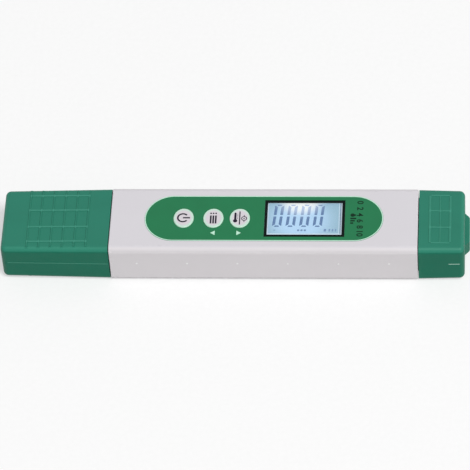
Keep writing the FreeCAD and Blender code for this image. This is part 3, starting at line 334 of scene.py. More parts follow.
def moulded_plastic(name, colour, roughness=0.42, variation=0.03, specular=0.5, edge=None, side=None):
    """Injection moulding: a spark-eroded grain and flow shading.

    The colour is multiplied by edge on rounded edges, a painted highlight, and by side on upright faces,
    painted shade where side is below 1 and painted light where it is above 1.
    """
    grain_size, grain_depth = 0.35 * MM, 0.006 * MM
    material, shader = new_finish(name, roughness, specular)
    tree = material.node_tree
    flow = grain(tree, 14 * MM, detail=3.0, stretch=(0.35, 1.0, 1.0), distortion=0.4)
    fine = grain(tree, grain_size, detail=1.0)
    base = blend_colours(tree, spread(tree, flow, 0.0, 1.0), shade(colour, 1.0 - variation),
                         shade(colour, 1.0 + variation))
    # Painted light and shade by the slope of the face: edge scales the rounded edges, side the upright faces
    if edge and side:
        tilt = face_tilt(tree)
        rounded = spread(tree, tilt, 0.0, 1.0, 0.15, 0.5, smooth=True)
        flat = spread(tree, tilt, 0.0, 1.0, 0.86, 0.99, smooth=True)
        painted_light_tint = blend_colours(tree, flat, blend_colours(tree, rounded, side, edge), (1.0, 1.0, 1.0))
        base = blend_colours(tree, 1.0, base, painted_light_tint, "MULTIPLY")
    speck = blend_colours(tree, spread(tree, fine, 0.0, 0.5 * variation), base, (0.0, 0.0, 0.0))
    tree.links.new(speck, shader.inputs["Base Color"])
    handled = grain(tree, 5 * MM, detail=4.0)
    tree.links.new(spread(tree, handled, roughness - 0.06, roughness + 0.06), shader.inputs["Roughness"])
    soft = relief(tree, shader, flow, 4 * grain_depth)
    relief(tree, shader, fine, grain_depth, below=soft)
    return material


def printed_film(name, colour):
    """Printed polyester film: a dense fine screen print under a smooth, slightly wavy surface."""
    material, shader = new_finish(name, 0.42, 0.25)
    tree = material.node_tree
    cloud = grain(tree, 9 * MM, detail=3.0)
    print_grain = grain(tree, 0.22 * MM, detail=0.0)
    base = blend_colours(tree, spread(tree, cloud, 0.0, 1.0), shade(colour, 0.96), shade(colour, 1.04))
    dots = blend_colours(tree, spread(tree, print_grain, 0.0, 0.1), base, shade(colour, 0.5))
    tree.links.new(dots, shader.inputs["Base Color"])
    tree.links.new(spread(tree, cloud, 0.34, 0.42), shader.inputs["Roughness"])
    wavy = relief(tree, shader, grain(tree, 3 * MM), 0.01 * MM)
    relief(tree, shader, print_grain, 0.002 * MM, below=wavy)
    return material


def ink_print(name, colour):
    """Screen-printed ink that is a little thinner in places."""
    material, shader = new_finish(name, 0.4, 0.15)
    tree = material.node_tree
    density = grain(tree, 0.5 * MM, detail=3.0)
    base = blend_colours(tree, spread(tree, density, 0.0, 1.0), shade(colour, 0.85), shade(colour, 1.15))
    tree.links.new(base, shader.inputs["Base Color"])
    relief(tree, shader, density, 0.003 * MM)
    return material


def brushed_metal(name, colour, along=(1.0, 12.0, 12.0), roughness=0.3):
    """Metal with fine drawing lines along the axis that is stretched least."""
    material, shader = new_finish(name, roughness, 0.5, metallic=1.0)
    tree = material.node_tree
    lines = grain(tree, 0.8 * MM, detail=3.0, stretch=along)
    tarnish = grain(tree, 4 * MM, detail=3.0)
    base = blend_colours(tree, spread(tree, tarnish, 0.0, 1.0), shade(colour, 0.88), shade(colour, 1.05))
    tree.links.new(base, shader.inputs["Base Color"])
    tree.links.new(spread(tree, lines, roughness - 0.08, roughness + 0.1), shader.inputs["Roughness"])
    relief(tree, shader, lines, 0.004 * MM)
    return material


def rubber(name, colour):
    """Moulded rubber: matt, with a dusty bloom."""
    material, shader = new_finish(name, 0.72, 0.35)
    tree = material.node_tree
    bloom = grain(tree, 1.2 * MM, detail=4.0)
    base = blend_colours(tree, spread(tree, bloom, 0.0, 1.0), colour, shade(colour, 1.8))
    tree.links.new(base, shader.inputs["Base Color"])
    relief(tree, shader, grain(tree, 0.18 * MM), 0.006 * MM)
    return material


def circuit_board(name):
    """Green solder mask over copper tracks, which show as paler raised lines."""
    material, shader = new_finish(name, 0.34, 0.5)
    tree = material.node_tree
    tracks = tree.nodes.new("ShaderNodeTexBrick")
    tree.links.new(piece_coordinates(tree, (1.0, 1.0, 0.0)), tracks.inputs["Vector"])
    tracks.inputs["Scale"].default_value = 260.0
    tracks.inputs["Mortar Size"].default_value = 0.05
    tracks.inputs["Mortar Smooth"].default_value = 0.2
    tracks.inputs["Brick Width"].default_value = 1.4
    tracks.inputs["Row Height"].default_value = 0.45
    mask = spread(tree, tracks.outputs["Fac"], 0.0, 1.0, 0.0, 1.0)
    colour = blend_colours(tree, mask, screen_colour(16, 78, 44), screen_colour(44, 122, 70))
    cloud = grain(tree, 7 * MM, detail=3.0)
    base = blend_colours(tree, spread(tree, cloud, 0.0, 0.25), colour, screen_colour(10, 52, 30))
    tree.links.new(base, shader.inputs["Base Color"])
    relief(tree, shader, mask, 0.03 * MM)
    return material


def striped_elastomer(name):
    """Elastomer connector: dark conducting layers between pink insulating ones, along the strip."""
    material, shader = new_finish(name, 0.6, 0.3)
    tree = material.node_tree
    waves = tree.nodes.new("ShaderNodeTexWave")
    waves.wave_type = "BANDS"
    waves.bands_direction = "X"
    tree.links.new(piece_coordinates(tree), waves.inputs["Vector"])
    waves.inputs["Scale"].default_value = 1000.0
    base = blend_colours(tree, spread(tree, waves.outputs["Fac"], 0.0, 1.0, 0.4, 0.6),
                         screen_colour(206, 150, 150), screen_colour(32, 32, 34))
    tree.links.new(base, shader.inputs["Base Color"])
    relief(tree, shader, waves.outputs["Fac"], 0.01 * MM)
    return material


def clear_window(name):
    """Clear acrylic with a polished face and a trace of haze."""
    material, shader = new_finish(name, 0.06, 0.5)
    tree = material.node_tree
    haze = grain(tree, 6 * MM, detail=4.0)
    base = blend_colours(tree, spread(tree, haze, 0.0, 1.0), (0.42, 0.5, 0.53), (0.5, 0.56, 0.58))
    tree.links.new(base, shader.inputs["Base Color"])
    shader.inputs["Alpha"].default_value = 0.04
    relief(tree, shader, haze, 0.004 * MM)
    return material


def lit_surface(name, dim, bright, glow_at, reach, lit, halo=None, halo_at=None, halo_reach=None):
    """A backlit layer: brighter near its lamp, with a share of its colour given off as light.

    A halo is a wider and fainter patch of light round another point.
    """
    material, shader = new_finish(name, 0.32, 0.15)
    tree = material.node_tree
    away = distance_from(tree, glow_at, reach)
    near = spread(tree, away, 1.0, 0.0, 0.3, 1.0, smooth=True)
    cloud = grain(tree, 2.5 * MM, detail=3.0)
    edge = dim
    if halo:
        wide = spread(tree, distance_from(tree, halo_at, halo_reach), 1.0, 0.0, 0.4, 1.05, smooth=True)
        edge = blend_colours(tree, wide, dim, halo)
    lamp = blend_colours(tree, near, edge, bright)
    seen = blend_colours(tree, spread(tree, cloud, 0.0, 0.05), lamp, shade(dim, 0.7))
    body = blend_colours(tree, 1.0 - lit, (0.0, 0.0, 0.0), (1.0, 1.0, 1.0))
    tree.links.new(blend_colours(tree, 1.0, seen, body, "MULTIPLY"), shader.inputs["Base Color"])
    tree.links.new(seen, shader.inputs["Emission Color"])
    shader.inputs["Emission Strength"].default_value = lit
    relief(tree, shader, cloud, 0.002 * MM)
    return material


def key_plastic(name, centre, half_length, half_width):
    """Pale key: its middle is neutral and its rim is pale green."""
    material, shader = new_finish(name, 0.45, 0.45)
    tree = material.node_tree
    out = distance_from(tree, centre, (half_length, half_width, 0.0))
    base = blend_colours(tree, spread(tree, out, 0.0, 1.0, 0.7, 0.92, smooth=True),
                         colours().key_face, colours().key_rim)
    fine = grain(tree, 0.3 * MM)
    worn = blend_colours(tree, spread(tree, grain(tree, 2.2 * MM, detail=4.0), 0.0, 0.08), base,
                         screen_colour(150, 140, 150))
    tree.links.new(worn, shader.inputs["Base Color"])
    relief(tree, shader, fine, 0.004 * MM)
    return material


def paint_nodes(material, *names):
    """Give the CAD nodes this material in every slot."""
    for name in names:
        mesh = NODES[name].data
        if not mesh.materials:
            mesh.materials.append(material)
        for index in range(len(mesh.materials)):
            mesh.materials[index] = material


# Thin solids for print and display segments


def new_piece(name, mesh, material, body):
    """An object that rides on a body of the CAD model and takes its finish from one of its slots."""
    piece = bpy.data.objects.new(name, mesh)
    bpy.context.scene.collection.objects.link(piece)
    mesh.materials.clear()
    mesh.materials.append(material)
    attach(piece, body)


def add_solid(work, outline, low, high):
    """A closed solid with this outline between two heights."""
    foot = [work.verts.new((x, y, low)) for x, y in outline]
    head = [work.verts.new((x, y, high)) for x, y in outline]
    work.faces.new(reversed(foot))
    work.faces.new(head)
    for index in range(len(outline)):
        after = (index + 1) % len(outline)
        work.faces.new((foot[index], foot[after], head[after], head[index]))


def add_ring(work, outer, inner, low, high, closed=True):
    """A solid strip between two lines with as many points, closed into a ring or left open."""
    count = len(outer)
    outer_foot, inner_foot, outer_head, inner_head = [
        [work.verts.new((x, y, height)) for x, y in line] for height in (low, high) for line in (outer, inner)
    ]
    for index in range(count if closed else count - 1):
        after = (index + 1) % count
        work.faces.new((outer_head[index], outer_head[after], inner_head[after], inner_head[index]))
        work.faces.new((outer_foot[after], outer_foot[index], inner_foot[index], inner_foot[after]))
        work.faces.new((outer_foot[index], outer_foot[after], outer_head[after], outer_head[index]))
        work.faces.new((inner_foot[after], inner_foot[index], inner_head[index], inner_head[after]))
    if not closed:
        work.faces.new((outer_foot[0], outer_head[0], inner_head[0], inner_foot[0]))
        work.faces.new((inner_foot[-1], inner_head[-1], outer_head[-1], outer_foot[-1]))


def finished_mesh(name, work):
    """The mesh of what was drawn, with its faces turned outwards."""
    bmesh.ops.recalc_face_normals(work, faces=work.faces[:])
    mesh = bpy.data.meshes.new(name)
    work.to_mesh(mesh)
    work.free()
    return mesh


def rectangle(x_low, x_high, y_low, y_high):
    return [(x_low, y_low), (x_high, y_low), (x_high, y_high), (x_low, y_high)]


def arc(x, y, radius, start, stop, steps):
    """Points on a circle from one angle to another, in degrees."""
    angles = [math.radians(start + (stop - start) * step / steps) for step in range(steps + 1)]
    return [(x + radius * math.cos(angle), y + radius * math.sin(angle)) for angle in angles]


def stadium(x_low, x_high, half_width, inset):
    """Two half circles joined by straight sides, drawn inset from the given size."""
    radius, steps = half_width - inset, 40
    right = arc(x_high - half_width, 0.0, radius, -90, 90, steps)
    left = arc(x_low + half_width, 0.0, radius, 90, 270, steps)
    return right + left


# Pieces


class TESTPEN_OT_shells(bpy.types.Operator):
    """Finish the two white body mouldings"""

    bl_idname = "test_pen.shells"
    bl_label = "White Shells"

    def execute(self, context):
        # Painted highlight on the rounded edges and painted light on the upright sides, which come out lighter
        # than the face
        white = moulded_plastic("white_moulding", tuple(colours().shell), roughness=0.45, variation=0.012,
                                specular=0.3, edge=(1.03, 1.02, 1.0), side=(1.2, 1.19, 1.16))
        # Painted highlight: the tops of the pips on the sides are laid in white
        pips = high_spots(white.node_tree, "Y", 0.0, 0.0, SIDE_FACE + 0.03 * MM, SIDE_FACE + 0.09 * MM)
        lay_painted_light(white, pips, colours().pip_highlight)
        paint_nodes(white, "front_shell", "back_shell")
        return {"FINISHED"}


class TESTPEN_OT_hoods(bpy.types.Operator):
    """Finish the green cap and battery cover, add the cap's mould lines and a painted glint on the cover's side
    """

    bl_idname = "test_pen.hoods"
    bl_label = "Green Cap and Cover"

    def execute(self, context):
        # The last number is the share of the painted crest highlight that the cross ribs get
        self.paint_hood("protective_cap", CAP_DRAFT, CAP_HIGH.x, 0.25 * MM, (4.25 * MM, 11.7 * MM), 0.0)
        self.paint_hood("battery_cover", -COVER_DRAFT, COVER_LOW.x, 0.2 * MM, (4.2 * MM, 12.15 * MM), 0.55)
        # Painted highlight: the cap's mould-line bead is laid in pale green
        pale = moulded_plastic("pale_seam_highlight", tuple(colours().mould_line), roughness=0.45, specular=0.22)
        # Painted glint on the cover's side, drawn as a short pale bead
        painted_glint = moulded_plastic("side_glint_finish", tuple(colours().painted_glint), roughness=0.45, specular=0.22)
        ends = (CAP_LOW.x + 2.4 * MM, CAP_HIGH.x - 0.3 * MM)
        self.add_seam("cap_mould_lines", "cap", pale, ends, CAP_HIGH.x, CAP_HIGH.y, (-1, 1), 9.95 * MM)
        ends = (84.2 * MM, 88.6 * MM)
        self.add_seam("cover_side_glint", "cover", painted_glint, ends, COVER_LOW.x, COVER_HIGH.y, (-1,), 10.2 * MM)
        return {"FINISHED"}

    def paint_hood(self, name, slope, mouth, rib, lines, cross_rib_highlight):
        """Finish a hood, with painted shade on the flanks of its ribs and a painted highlight on their crests,
        most on the lengthwise ones.

        The slope is the rise of its face along X, rib the height of its ribs, and lines the places of the
        lengthwise ones from the middle.
        """
        # Painted highlight on the rounded edges and painted shade on the upright sides, which come out darker
        # and deeper green than the face
        green = moulded_plastic(f"{name}_moulding", tuple(colours().hood), roughness=0.45, variation=0.05,
                                specular=0.22, edge=(1.12, 1.15, 1.14), side=(0.1, 0.82, 0.72))
        tree = green.node_tree
        middle = (CAP_LOW.z + CAP_HIGH.z) / 2
        face = SHELL_HIGH.z - middle - HOOD_STEP - slope * mouth
        crest = high_spots(tree, "Z", middle, slope, face + rib - 0.05 * MM, face + rib - 0.02 * MM)
        flank_shade_mask = high_spots(tree, "Z", middle, slope, face + 0.04 * MM, face + 0.08 * MM)
        # Painted shade on the rib flanks; the crests then get the plain green back
        lay_painted_light(green, flank_shade_mask, shade(colours().hood, 0.74))
        lay_painted_light(green, crest, tuple(colours().hood))
        # Painted highlight on the rib crests, in full on the lengthwise ribs and in a share on the cross ribs
        lay_painted_light(green, along_lines(tree, crest, lines, 0.5 * MM, cross_rib_highlight), colours().rib_highlight)
        paint_nodes(green, name)

    def add_seam(self, name, body, material, ends, mouth, width, sides, foot):
        """A thin bead along the sides of a hood, whose half width at its mouth is given."""
        proud, root = 0.05 * MM, 0.3 * MM
        work = bmesh.new()
        for side in sides:
            near, far = [width - CAP_DRAFT * abs(x - mouth) for x in ends]
            line = [(ends[0], side * (near + proud)), (ends[1], side * (far + proud)),
                    (ends[1], side * (far - root)), (ends[0], side * (near - root))]
            add_solid(work, line, foot, foot + sizes().mould_line)
        new_piece(name, finished_mesh(name, work), material, body)


class TESTPEN_OT_label(bpy.types.Operator):
    """Finish the label and print its pale edge, arrows, numbers and drop"""

    bl_idname = "test_pen.label"
    bl_label = "Label"

    def execute(self, context):
        paint_nodes(printed_film("label_film", tuple(colours().label)), "face_label")
        pale = ink_print("pale_ink", tuple(colours().pale_print))
        dark = ink_print("dark_green_ink", tuple(colours().ink))
        low, high = LABEL_HIGH.z, LABEL_HIGH.z + sizes().ink_height
        size = (LABEL_LOW.x, LABEL_HIGH.x, LABEL_HIGH.y)

        work = bmesh.new()
        add_ring(work, stadium(*size, 0.0), stadium(*size, sizes().label_edge), low, high)
        for key, tip, base in (("mode", -0.9, 0.88), ("cal", 0.78, -1.02)):
            middle = key_middle(key)
            points = [(tip, -7.5), (base, -8.65), (base, -6.35)]
            add_solid(work, [(middle + x * MM, y * MM) for x, y in points], low, high)
        new_piece("label_pale_print", finished_mesh("label_pale_print", work), pale, "pen_body")

        work = bmesh.new()
        foot = WINDOW_HIGH.x + 2.2 * MM
        self.draw_drop(work, foot + 0.75 * MM, 1.75 * MM, low, high)
        for place, tall in ((0.05, 2.3), (-1.15, 1.75), (-2.35, 1.2)):
            bar = rectangle(foot, foot + tall * MM, (place - 0.36) * MM, (place + 0.36) * MM)
            add_solid(work, bar, low, high)
        new_piece("label_drop", finished_mesh("label_drop", work), dark, "pen_body")
        start = 8.25 * MM
        for step in range(6):
            place = start - step * sizes().number_pitch
            self.print_number(str(2 * step), WINDOW_HIGH.x + 4.85 * MM, place, low, dark)
        return {"FINISHED"}

    def draw_drop(self, work, x, y, low, high):
        """A water drop whose point looks to the battery cover."""
        round_end = arc(x + 0.1 * MM, y, 0.86 * MM, 55, 305, 24)
        add_solid(work, round_end + [(x + 1.75 * MM, y)], low, high)

    def print_number(self, text, x, y, height, material):
        """A plain number whose foot points to the cap."""
        letters = bpy.data.curves.new(f"number_{text}", "FONT")
        letters.body = text
        letters.align_x = "CENTER"
        letters.size = sizes().number_size
        letters.offset = 0.02 * sizes().number_size
        letters.extrude = sizes().ink_height / 2
        shape = bpy.data.objects.new(letters.name, letters)
        mesh = bpy.data.meshes.new_from_object(shape)
        turn = Matrix.Rotation(-math.pi / 2, 4, "Z")
        mesh.transform(Matrix.Translation((x, y, height + sizes().ink_height / 2)) @ turn)
        bpy.data.objects.remove(shape)
        new_piece(f"label_number_{text}", mesh, material, "pen_body")


# Middle, length and height of each fine mark under the figures, in millimetres from the window's middle
FINE_MARKS = (
    (-2.3, -5.15, 0.85, 0.85),
    (-1.0, -5.15, 0.85, 0.85),
    (0.3, -5.15, 0.85, 0.85),
    (8.2, -5.1, 0.9, 1.25),
    (9.94, -5.1, 0.55, 1.25),
    (11.2, -5.1, 0.55, 1.25),
    (12.4, -5.1, 0.45, 1.25),
    (-11.7, -5.1, 0.7, 0.35),
)


class TESTPEN_OT_display(bpy.types.Operator):
    """Finish the window and the display, and draw its four figures"""

    bl_idname = "test_pen.display"
    bl_label = "Display"

    def execute(self, context):
        paint_nodes(moulded_plastic("black_border", screen_colour(4, 13, 13), roughness=0.4, specular=0.08),
                    "window_frame")
        paint_nodes(clear_window("clear_acrylic"), "display_lens")
        middle = WINDOW_MIDDLE
        glow_at = (middle - 1.8 * MM, 8.9 * MM, GLASS_HIGH.z)
        reach = (10.5 * MM, 7.5 * MM, 0.0)
        rim = lit_surface("display_rim", tuple(colours().display_rim), screen_colour(252, 254, 254), glow_at,
                          (14 * MM, 8 * MM, 0.0), 0.5)
        paint_nodes(rim, "lcd_glass")
        paint_nodes(lit_surface("light_guide", screen_colour(205, 222, 235), screen_colour(245, 250, 252),
                                glow_at, reach, 0.4), "lcd_backlight")
        paint_nodes(striped_elastomer("contact_rubber"), "front_zebra_strip", "rear_zebra_strip")
        paint_nodes(moulded_plastic("grey_carrier", screen_colour(200, 204, 206)), "lcd_carrier")

        top = GLASS_HIGH.z
        film_top = top + 0.02 * MM
        back = GLASS_HIGH.y - 0.02 * MM
        work = bmesh.new()
        for left, right in ((-14.4, 13.45), (13.7, 14.0)):
            add_solid(work, rectangle(middle + left * MM, middle + right * MM, -6.75 * MM, back), top, film_top)
        film = lit_surface("display_film", tuple(colours().display), tuple(colours().display_glow), glow_at,
                           reach, 0.75, halo=tuple(colours().display_halo),
                           halo_at=(middle - 1.8 * MM, 0.0, top), halo_reach=(15 * MM, 14 * MM, 0.0))
        new_piece("display_film", finished_mesh("display_film", work), film, "pen_body")

        # Painted shadow: a dark strip along the right edge of the film, where the film's edge casts shade
        work = bmesh.new()
        add_solid(work, rectangle(middle + 14.0 * MM, middle + 14.22 * MM, -6.9 * MM, back), top, film_top)
        edge = ink_print("film_shadow_strip", screen_colour(70, 84, 116))
        new_piece("display_film_shadow_strip", finished_mesh("display_film_shadow_strip", work), edge, "pen_body")

        figure = lit_surface("display_figure", tuple(colours().figure), screen_colour(190, 208, 238), glow_at,
                             (12 * MM, 9 * MM, 0.0), 0.25)
        work = bmesh.new()
        for number in range(sizes().figure_count):
            self.draw_zero(work, middle + sizes().figure_start + number * sizes().figure_pitch, film_top)
        new_piece("display_figures", finished_mesh("display_figures", work), figure, "pen_body")

        fine = lit_surface("display_fine_mark", tuple(colours().small_figure), screen_colour(150, 170, 205),
                           glow_at, reach, 0.3)
        work = bmesh.new()
        for x, y, length, height in FINE_MARKS:
            lean = 0.1 * height
            points = [(x - length / 2, y - height / 2), (x + length / 2, y - height / 2),
                      (x + length / 2 + lean, y + height / 2), (x - length / 2 + lean, y + height / 2)]
            add_solid(work, [(middle + (u - 0.15) * MM, v * MM) for u, v in points], film_top,
                      film_top + sizes().ink_height)
        new_piece("display_marks", finished_mesh("display_marks", work), fine, "pen_body")
        return {"FINISHED"}

    def draw_zero(self, work, start, height):
        """The six lit segments of a leaning zero."""
        wide, tall, bar = sizes().figure_width, sizes().figure_height, sizes().figure_bar
        slant = math.tan(sizes().figure_slant)
        gap, waist = 0.14 * MM, 0.35 * MM
        half = bar / 2
        middle = tall / 2
        low, high = half, middle - waist
        lower = [(0.0, low - 0.2 * half), (bar, low + half + gap), (bar, high - 0.2 * half), (half, high),
                 (0.0, high - 0.2 * half)]
        low, high = middle + waist, tall - half
        upper = [(0.0, low + 0.2 * half), (half, low), (bar, low + 0.2 * half), (bar, high - half - gap),
                 (0.0, high + 0.2 * half)]
        segments = []
        for left in (lower, upper):
            segments += [left, [(wide - x, y) for x, y in reversed(left)]]
        inset = half + gap
        for outer, inner in ((0.0, 0.62 * bar), (tall, tall - 0.62 * bar)):
            points = [(inset + 0.2 * half, outer), (wide - inset - 0.2 * half, outer),
                      (wide - inset - 0.8 * half, inner), (inset + 0.8 * half, inner)]
            segments.append(points if inner > outer else points[::-1])
        for points in segments:
            outline = [(start + x + slant * y, sizes().figure_foot + y) for x, y in points]
            add_solid(work, outline, height, height + sizes().ink_height)


class TESTPEN_OT_keys(bpy.types.Operator):
    """Finish the three keys, their switches and their symbols"""

    bl_idname = "test_pen.keys"
    bl_label = "Keys"

    def execute(self, context):
        symbol = ink_print("key_ink", tuple(colours().key_symbol))
        line = sizes().symbol_line
        drawings = {"power": self.draw_power, "mode": self.draw_list, "cal": self.draw_pair}
        for key, draw in drawings.items():
            middle = key_middle(key)
            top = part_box(f"{key}_button")[1].z
            pale = key_plastic(f"{key}_key_plastic", (middle, 0.0, 0.0), half_length=4.03 * MM,
                               half_width=4.85 * MM)
            paint_nodes(pale, f"{key}_button")
            work = bmesh.new()
            draw(work, middle, line, top, top + sizes().ink_height)
            name = f"{key}_key_symbol"
            new_piece(name, finished_mesh(name, work), symbol, f"{key}_key")
        paint_nodes(moulded_plastic("switch_black", screen_colour(30, 31, 33), roughness=0.45),
                    "power_switch", "mode_switch", "cal_switch")
        paint_nodes(moulded_plastic("plunger_brown", screen_colour(120, 62, 44), roughness=0.4),
                    "power_plunger", "mode_plunger", "cal_plunger")
        return {"FINISHED"}

    def draw_power(self, work, x, line, low, high):
        """A ring that is open towards the battery cover, with a bar through the opening."""
        centre, radius = x - 0.25 * MM, 2.35 * MM
        outer = arc(centre, 0.0, radius, 40, 320, 40)
        inner = arc(centre, 0.0, radius - line, 40, 320, 40)
        add_ring(work, outer, inner, low, high, closed=False)
        add_solid(work, rectangle(centre, centre + 2.8 * MM, -line / 2, line / 2), low, high)

    def draw_list(self, work, x, line, low, high):
        """Three lines across the key, each with a dot before it."""
        for step in (-1, 0, 1):
            place = x + step * MM
            add_solid(work, rectangle(place - line / 2, place + line / 2, -2.9 * MM, 1.2 * MM), low, high)
            add_solid(work, arc(place, 2.3 * MM, 0.36 * MM, 0, 345, 23), low, high)

    def draw_pair(self, work, x, line, low, high):
        """A thermometer and a sighting mark, with a line across the key between them."""
        thin = 0.7 * line
        add_solid(work, rectangle(x - thin / 2, x + thin / 2, -3.4 * MM, 3.3 * MM), low, high)
        left, right = x - 1.75 * MM, x + 1.75 * MM
        stem = arc(left, 2.3 * MM, 0.42 * MM, 0, 180, 12) + arc(left, -1.5 * MM, 0.85 * MM, 120, 420, 28)
        add_solid(work, stem, low, high)
        for step in range(4):
            place = (1.9 - step * 0.75) * MM
            add_solid(work, rectangle(left + 0.62 * MM, left + 1.1 * MM, place - 0.1 * MM, place + 0.1 * MM),
                      low, high)
        wheel = [arc(right, -0.3 * MM, radius * MM, 0, 348, 29) for radius in (1.15, 0.8)]
        add_ring(work, *wheel, low, high)
        add_solid(work, arc(right, -0.3 * MM, 0.3 * MM, 0, 340, 17), low, high)
        for reach in (-1, 1):
            start = -0.3 * MM + reach * 1.2 * MM
            ends = sorted((start, start + reach * 0.6 * MM))
            add_solid(work, rectangle(right - 0.15 * MM, right + 0.15 * MM, *ends), low, high)


class TESTPEN_OT_board(bpy.types.Operator):
    """Finish the circuit board, its chips and its screws"""

    bl_idname = "test_pen.board"
    bl_label = "Circuit Board"

    def execute(self, context):
        paint_nodes(circuit_board("solder_mask"), "main_board")
        paint_nodes(moulded_plastic("chip_epoxy", screen_colour(28, 28, 30), roughness=0.55, variation=0.1),
                    "controller_chip", "amplifier_chip")
        paint_nodes(brushed_metal("crystal_can", (0.78, 0.78, 0.8)), "timing_crystal")
        paint_nodes(brushed_metal("zinc_screw", (0.62, 0.63, 0.66), along=(6.0, 6.0, 1.0)), "board_screws")
        return {"FINISHED"}


class TESTPEN_OT_probe(bpy.types.Operator):
    """Finish the probe under the cap"""

    bl_idname = "test_pen.probe"
    bl_label = "Probe"

    def execute(self, context):
        paint_nodes(moulded_plastic("probe_moulding", screen_colour(206, 208, 208), roughness=0.38,
                                    variation=0.02), "probe_housing")
        paint_nodes(moulded_plastic("guard_moulding", screen_colour(60, 64, 66)), "probe_guard")
        paint_nodes(brushed_metal("electrode_metal", (0.7, 0.7, 0.71), roughness=0.24),
                    "left_electrode", "right_electrode")
        paint_nodes(brushed_metal("sensor_steel", (0.76, 0.76, 0.77), roughness=0.2), "temperature_sensor")
        paint_nodes(rubber("seal_rubber", screen_colour(34, 34, 36)), "cap_seal", "cover_seal")
        paint_nodes(moulded_plastic("lead_sleeve", screen_colour(170, 40, 36), roughness=0.5),
                    "left_sensor_lead", "right_sensor_lead")
        return {"FINISHED"}


class TESTPEN_OT_battery(bpy.types.Operator):
    """Finish the battery holder, cells and contacts under the cover"""

    bl_idname = "test_pen.battery"
    bl_label = "Battery"

    def execute(self, context):
        paint_nodes(moulded_plastic("holder_moulding", screen_colour(196, 198, 198), roughness=0.42,
                                    variation=0.02), "battery_holder")
        paint_nodes(brushed_metal("cell_can", (0.72, 0.72, 0.73), along=(1.0, 6.0, 6.0), roughness=0.26),
                    "left_cell_1", "left_cell_2", "right_cell_1", "right_cell_2")
        paint_nodes(brushed_metal("spring_nickel", (0.76, 0.72, 0.64), along=(12.0, 1.0, 12.0)),
                    "left_terminal", "right_terminal", "cover_contact")
        return {"FINISHED"}


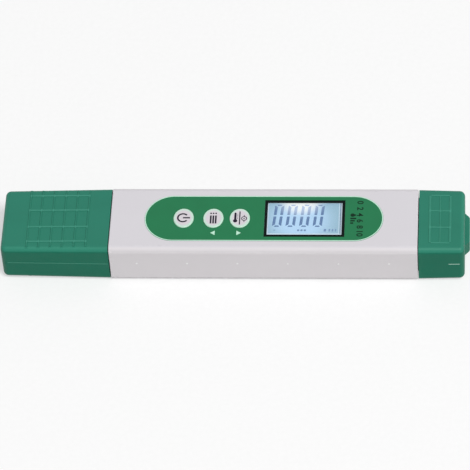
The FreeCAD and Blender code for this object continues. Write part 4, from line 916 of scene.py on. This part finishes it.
class TESTPEN_OT_stage(bpy.types.Operator):
    """Set the floor, the light and the camera"""

    bl_idname = "test_pen.stage"
    bl_label = "Stage"

    def execute(self, context):
        scene = context.scene
        scene.view_settings.view_transform = "Standard"
        self.lay_floor()
        self.hang_lamp(scene.test_pen_stage)
        self.light_sky(scene, scene.test_pen_stage)
        self.place_camera(scene, scene.test_pen_stage)
        return {"FINISHED"}

    def seen_directly(self, tree):
        """1 for rays from the camera, a mirror or glass, and 0 for light that falls on things."""
        path = tree.nodes.new("ShaderNodeLightPath")
        total = path.outputs["Is Camera Ray"]
        for name in ("Is Glossy Ray", "Is Transmission Ray"):
            total = number_node(tree, "ADD", total, path.outputs[name])
        return total

    def lay_floor(self):
        """A wide sheet just under the pen, which gives off light where it is seen."""
        half, thickness, clearance = 2.0, 0.02, 0.03 * MM
        work = bmesh.new()
        add_solid(work, rectangle(-half, half, -half, half), -thickness, -clearance)
        mesh = finished_mesh("floor", work)
        floor = bpy.data.objects.new("floor", mesh)
        bpy.context.scene.collection.objects.link(floor)
        material, shader = new_finish("white_paper", 0.9, 0.0)
        tree = material.node_tree
        fibre = grain(tree, 2 * MM, detail=3.0)
        base = blend_colours(tree, spread(tree, fibre, 0.0, 1.0), (0.44, 0.44, 0.44), (0.46, 0.46, 0.46))
        tree.links.new(base, shader.inputs["Base Color"])
        shader.inputs["Emission Color"].default_value = (1.0, 1.0, 1.0, 1.0)
        glow = spread(tree, self.seen_directly(tree), 0.08, 0.511, 0.0, 1.0)
        tree.links.new(glow, shader.inputs["Emission Strength"])
        mesh.materials.append(material)

    def hang_lamp(self, stage):
        """A soft square lamp in front of the pen."""
        lamp = bpy.data.lights.new("soft_lamp", "AREA")
        lamp.shape = "SQUARE"
        lamp.size = 0.35 * stage.lamp_distance
        lamp.energy = stage.lamp
        holder = bpy.data.objects.new("soft_lamp", lamp)
        level = math.cos(stage.lamp_height)
        towards = Vector((level * math.sin(stage.lamp_side), -level * math.cos(stage.lamp_side),
                          math.sin(stage.lamp_height)))
        holder.location = towards * stage.lamp_distance
        holder.rotation_euler = (-towards).to_track_quat("-Z", "Y").to_euler()
        bpy.context.scene.collection.objects.link(holder)

    def light_sky(self, scene, stage):
        """Even light from all round, and white where the sky itself is seen."""
        world = bpy.data.worlds.new("even_sky")
        world.use_nodes = True
        tree = world.node_tree
        background = tree.nodes["Background"]
        background.inputs["Color"].default_value = (1.0, 1.0, 1.0, 1.0)
        strength = spread(tree, self.seen_directly(tree), stage.sky, 1.0, 0.0, 1.0)
        tree.links.new(strength, background.inputs["Strength"])
        scene.world = world

    def place_camera(self, scene, stage):
        """Look at the pen from the stage's azimuth and elevation, with the camera rolled about its axis."""
        lens = bpy.data.cameras.new("camera")
        lens.sensor_width = 36.0
        lens.lens = stage.lens
        lens.clip_end = 50.0
        camera = bpy.data.objects.new("camera", lens)
        scene.collection.objects.link(camera)
        target = Vector((-0.595, -0.670, 9.5)) * MM
        back = Vector((math.sin(stage.azimuth) * math.cos(stage.elevation),
                       -math.cos(stage.azimuth) * math.cos(stage.elevation), math.sin(stage.elevation)))
        level = (-back).cross(Vector((0.0, 0.0, 1.0))).normalized()
        upright = level.cross(-back)
        cosine, sine = math.cos(stage.roll), math.sin(stage.roll)
        right = cosine * level + sine * upright
        up = -sine * level + cosine * upright
        turn = Matrix((right, up, back)).transposed().to_4x4()
        camera.matrix_world = Matrix.Translation(target + back * stage.distance) @ turn
        scene.camera = camera


PIECES = (
    TESTPEN_OT_stage,
    TESTPEN_OT_shells,
    TESTPEN_OT_hoods,
    TESTPEN_OT_label,
    TESTPEN_OT_display,
    TESTPEN_OT_keys,
    TESTPEN_OT_board,
    TESTPEN_OT_probe,
    TESTPEN_OT_battery,
)


class TESTPEN_PT_pieces(bpy.types.Panel):
    """The pen's pieces and stage"""

    bl_idname = "TESTPEN_PT_pieces"
    bl_label = "Test Pen"
    bl_space_type = "VIEW_3D"
    bl_region_type = "UI"
    bl_category = "Test Pen"

    def draw(self, context):
        for piece in PIECES:
            self.layout.operator(piece.bl_idname)
        scene = context.scene
        for group in (scene.test_pen_colours, scene.test_pen_sizes, scene.test_pen_stage):
            box = self.layout.box()
            for setting in group.__annotations__:
                box.prop(group, setting)


SETTINGS = (TestPenColours, TestPenSizes, TestPenStage)


def register():
    for kind in (*SETTINGS, *PIECES, TESTPEN_PT_pieces):
        bpy.utils.register_class(kind)
    bpy.types.Scene.test_pen_colours = PointerProperty(type=TestPenColours)
    bpy.types.Scene.test_pen_sizes = PointerProperty(type=TestPenSizes)
    bpy.types.Scene.test_pen_stage = PointerProperty(type=TestPenStage)


def unregister():
    del bpy.types.Scene.test_pen_stage
    del bpy.types.Scene.test_pen_sizes
    del bpy.types.Scene.test_pen_colours
    for kind in reversed((*SETTINGS, *PIECES, TESTPEN_PT_pieces)):
        bpy.utils.unregister_class(kind)


def main():
    register()
    bpy.ops.test_pen.stage()
    bpy.ops.test_pen.shells()
    bpy.ops.test_pen.hoods()
    bpy.ops.test_pen.label()
    bpy.ops.test_pen.display()
    bpy.ops.test_pen.keys()
    bpy.ops.test_pen.board()
    bpy.ops.test_pen.probe()
    bpy.ops.test_pen.battery()
    bpy.context.view_layer.update()


if __name__ == "__main__":
    main()
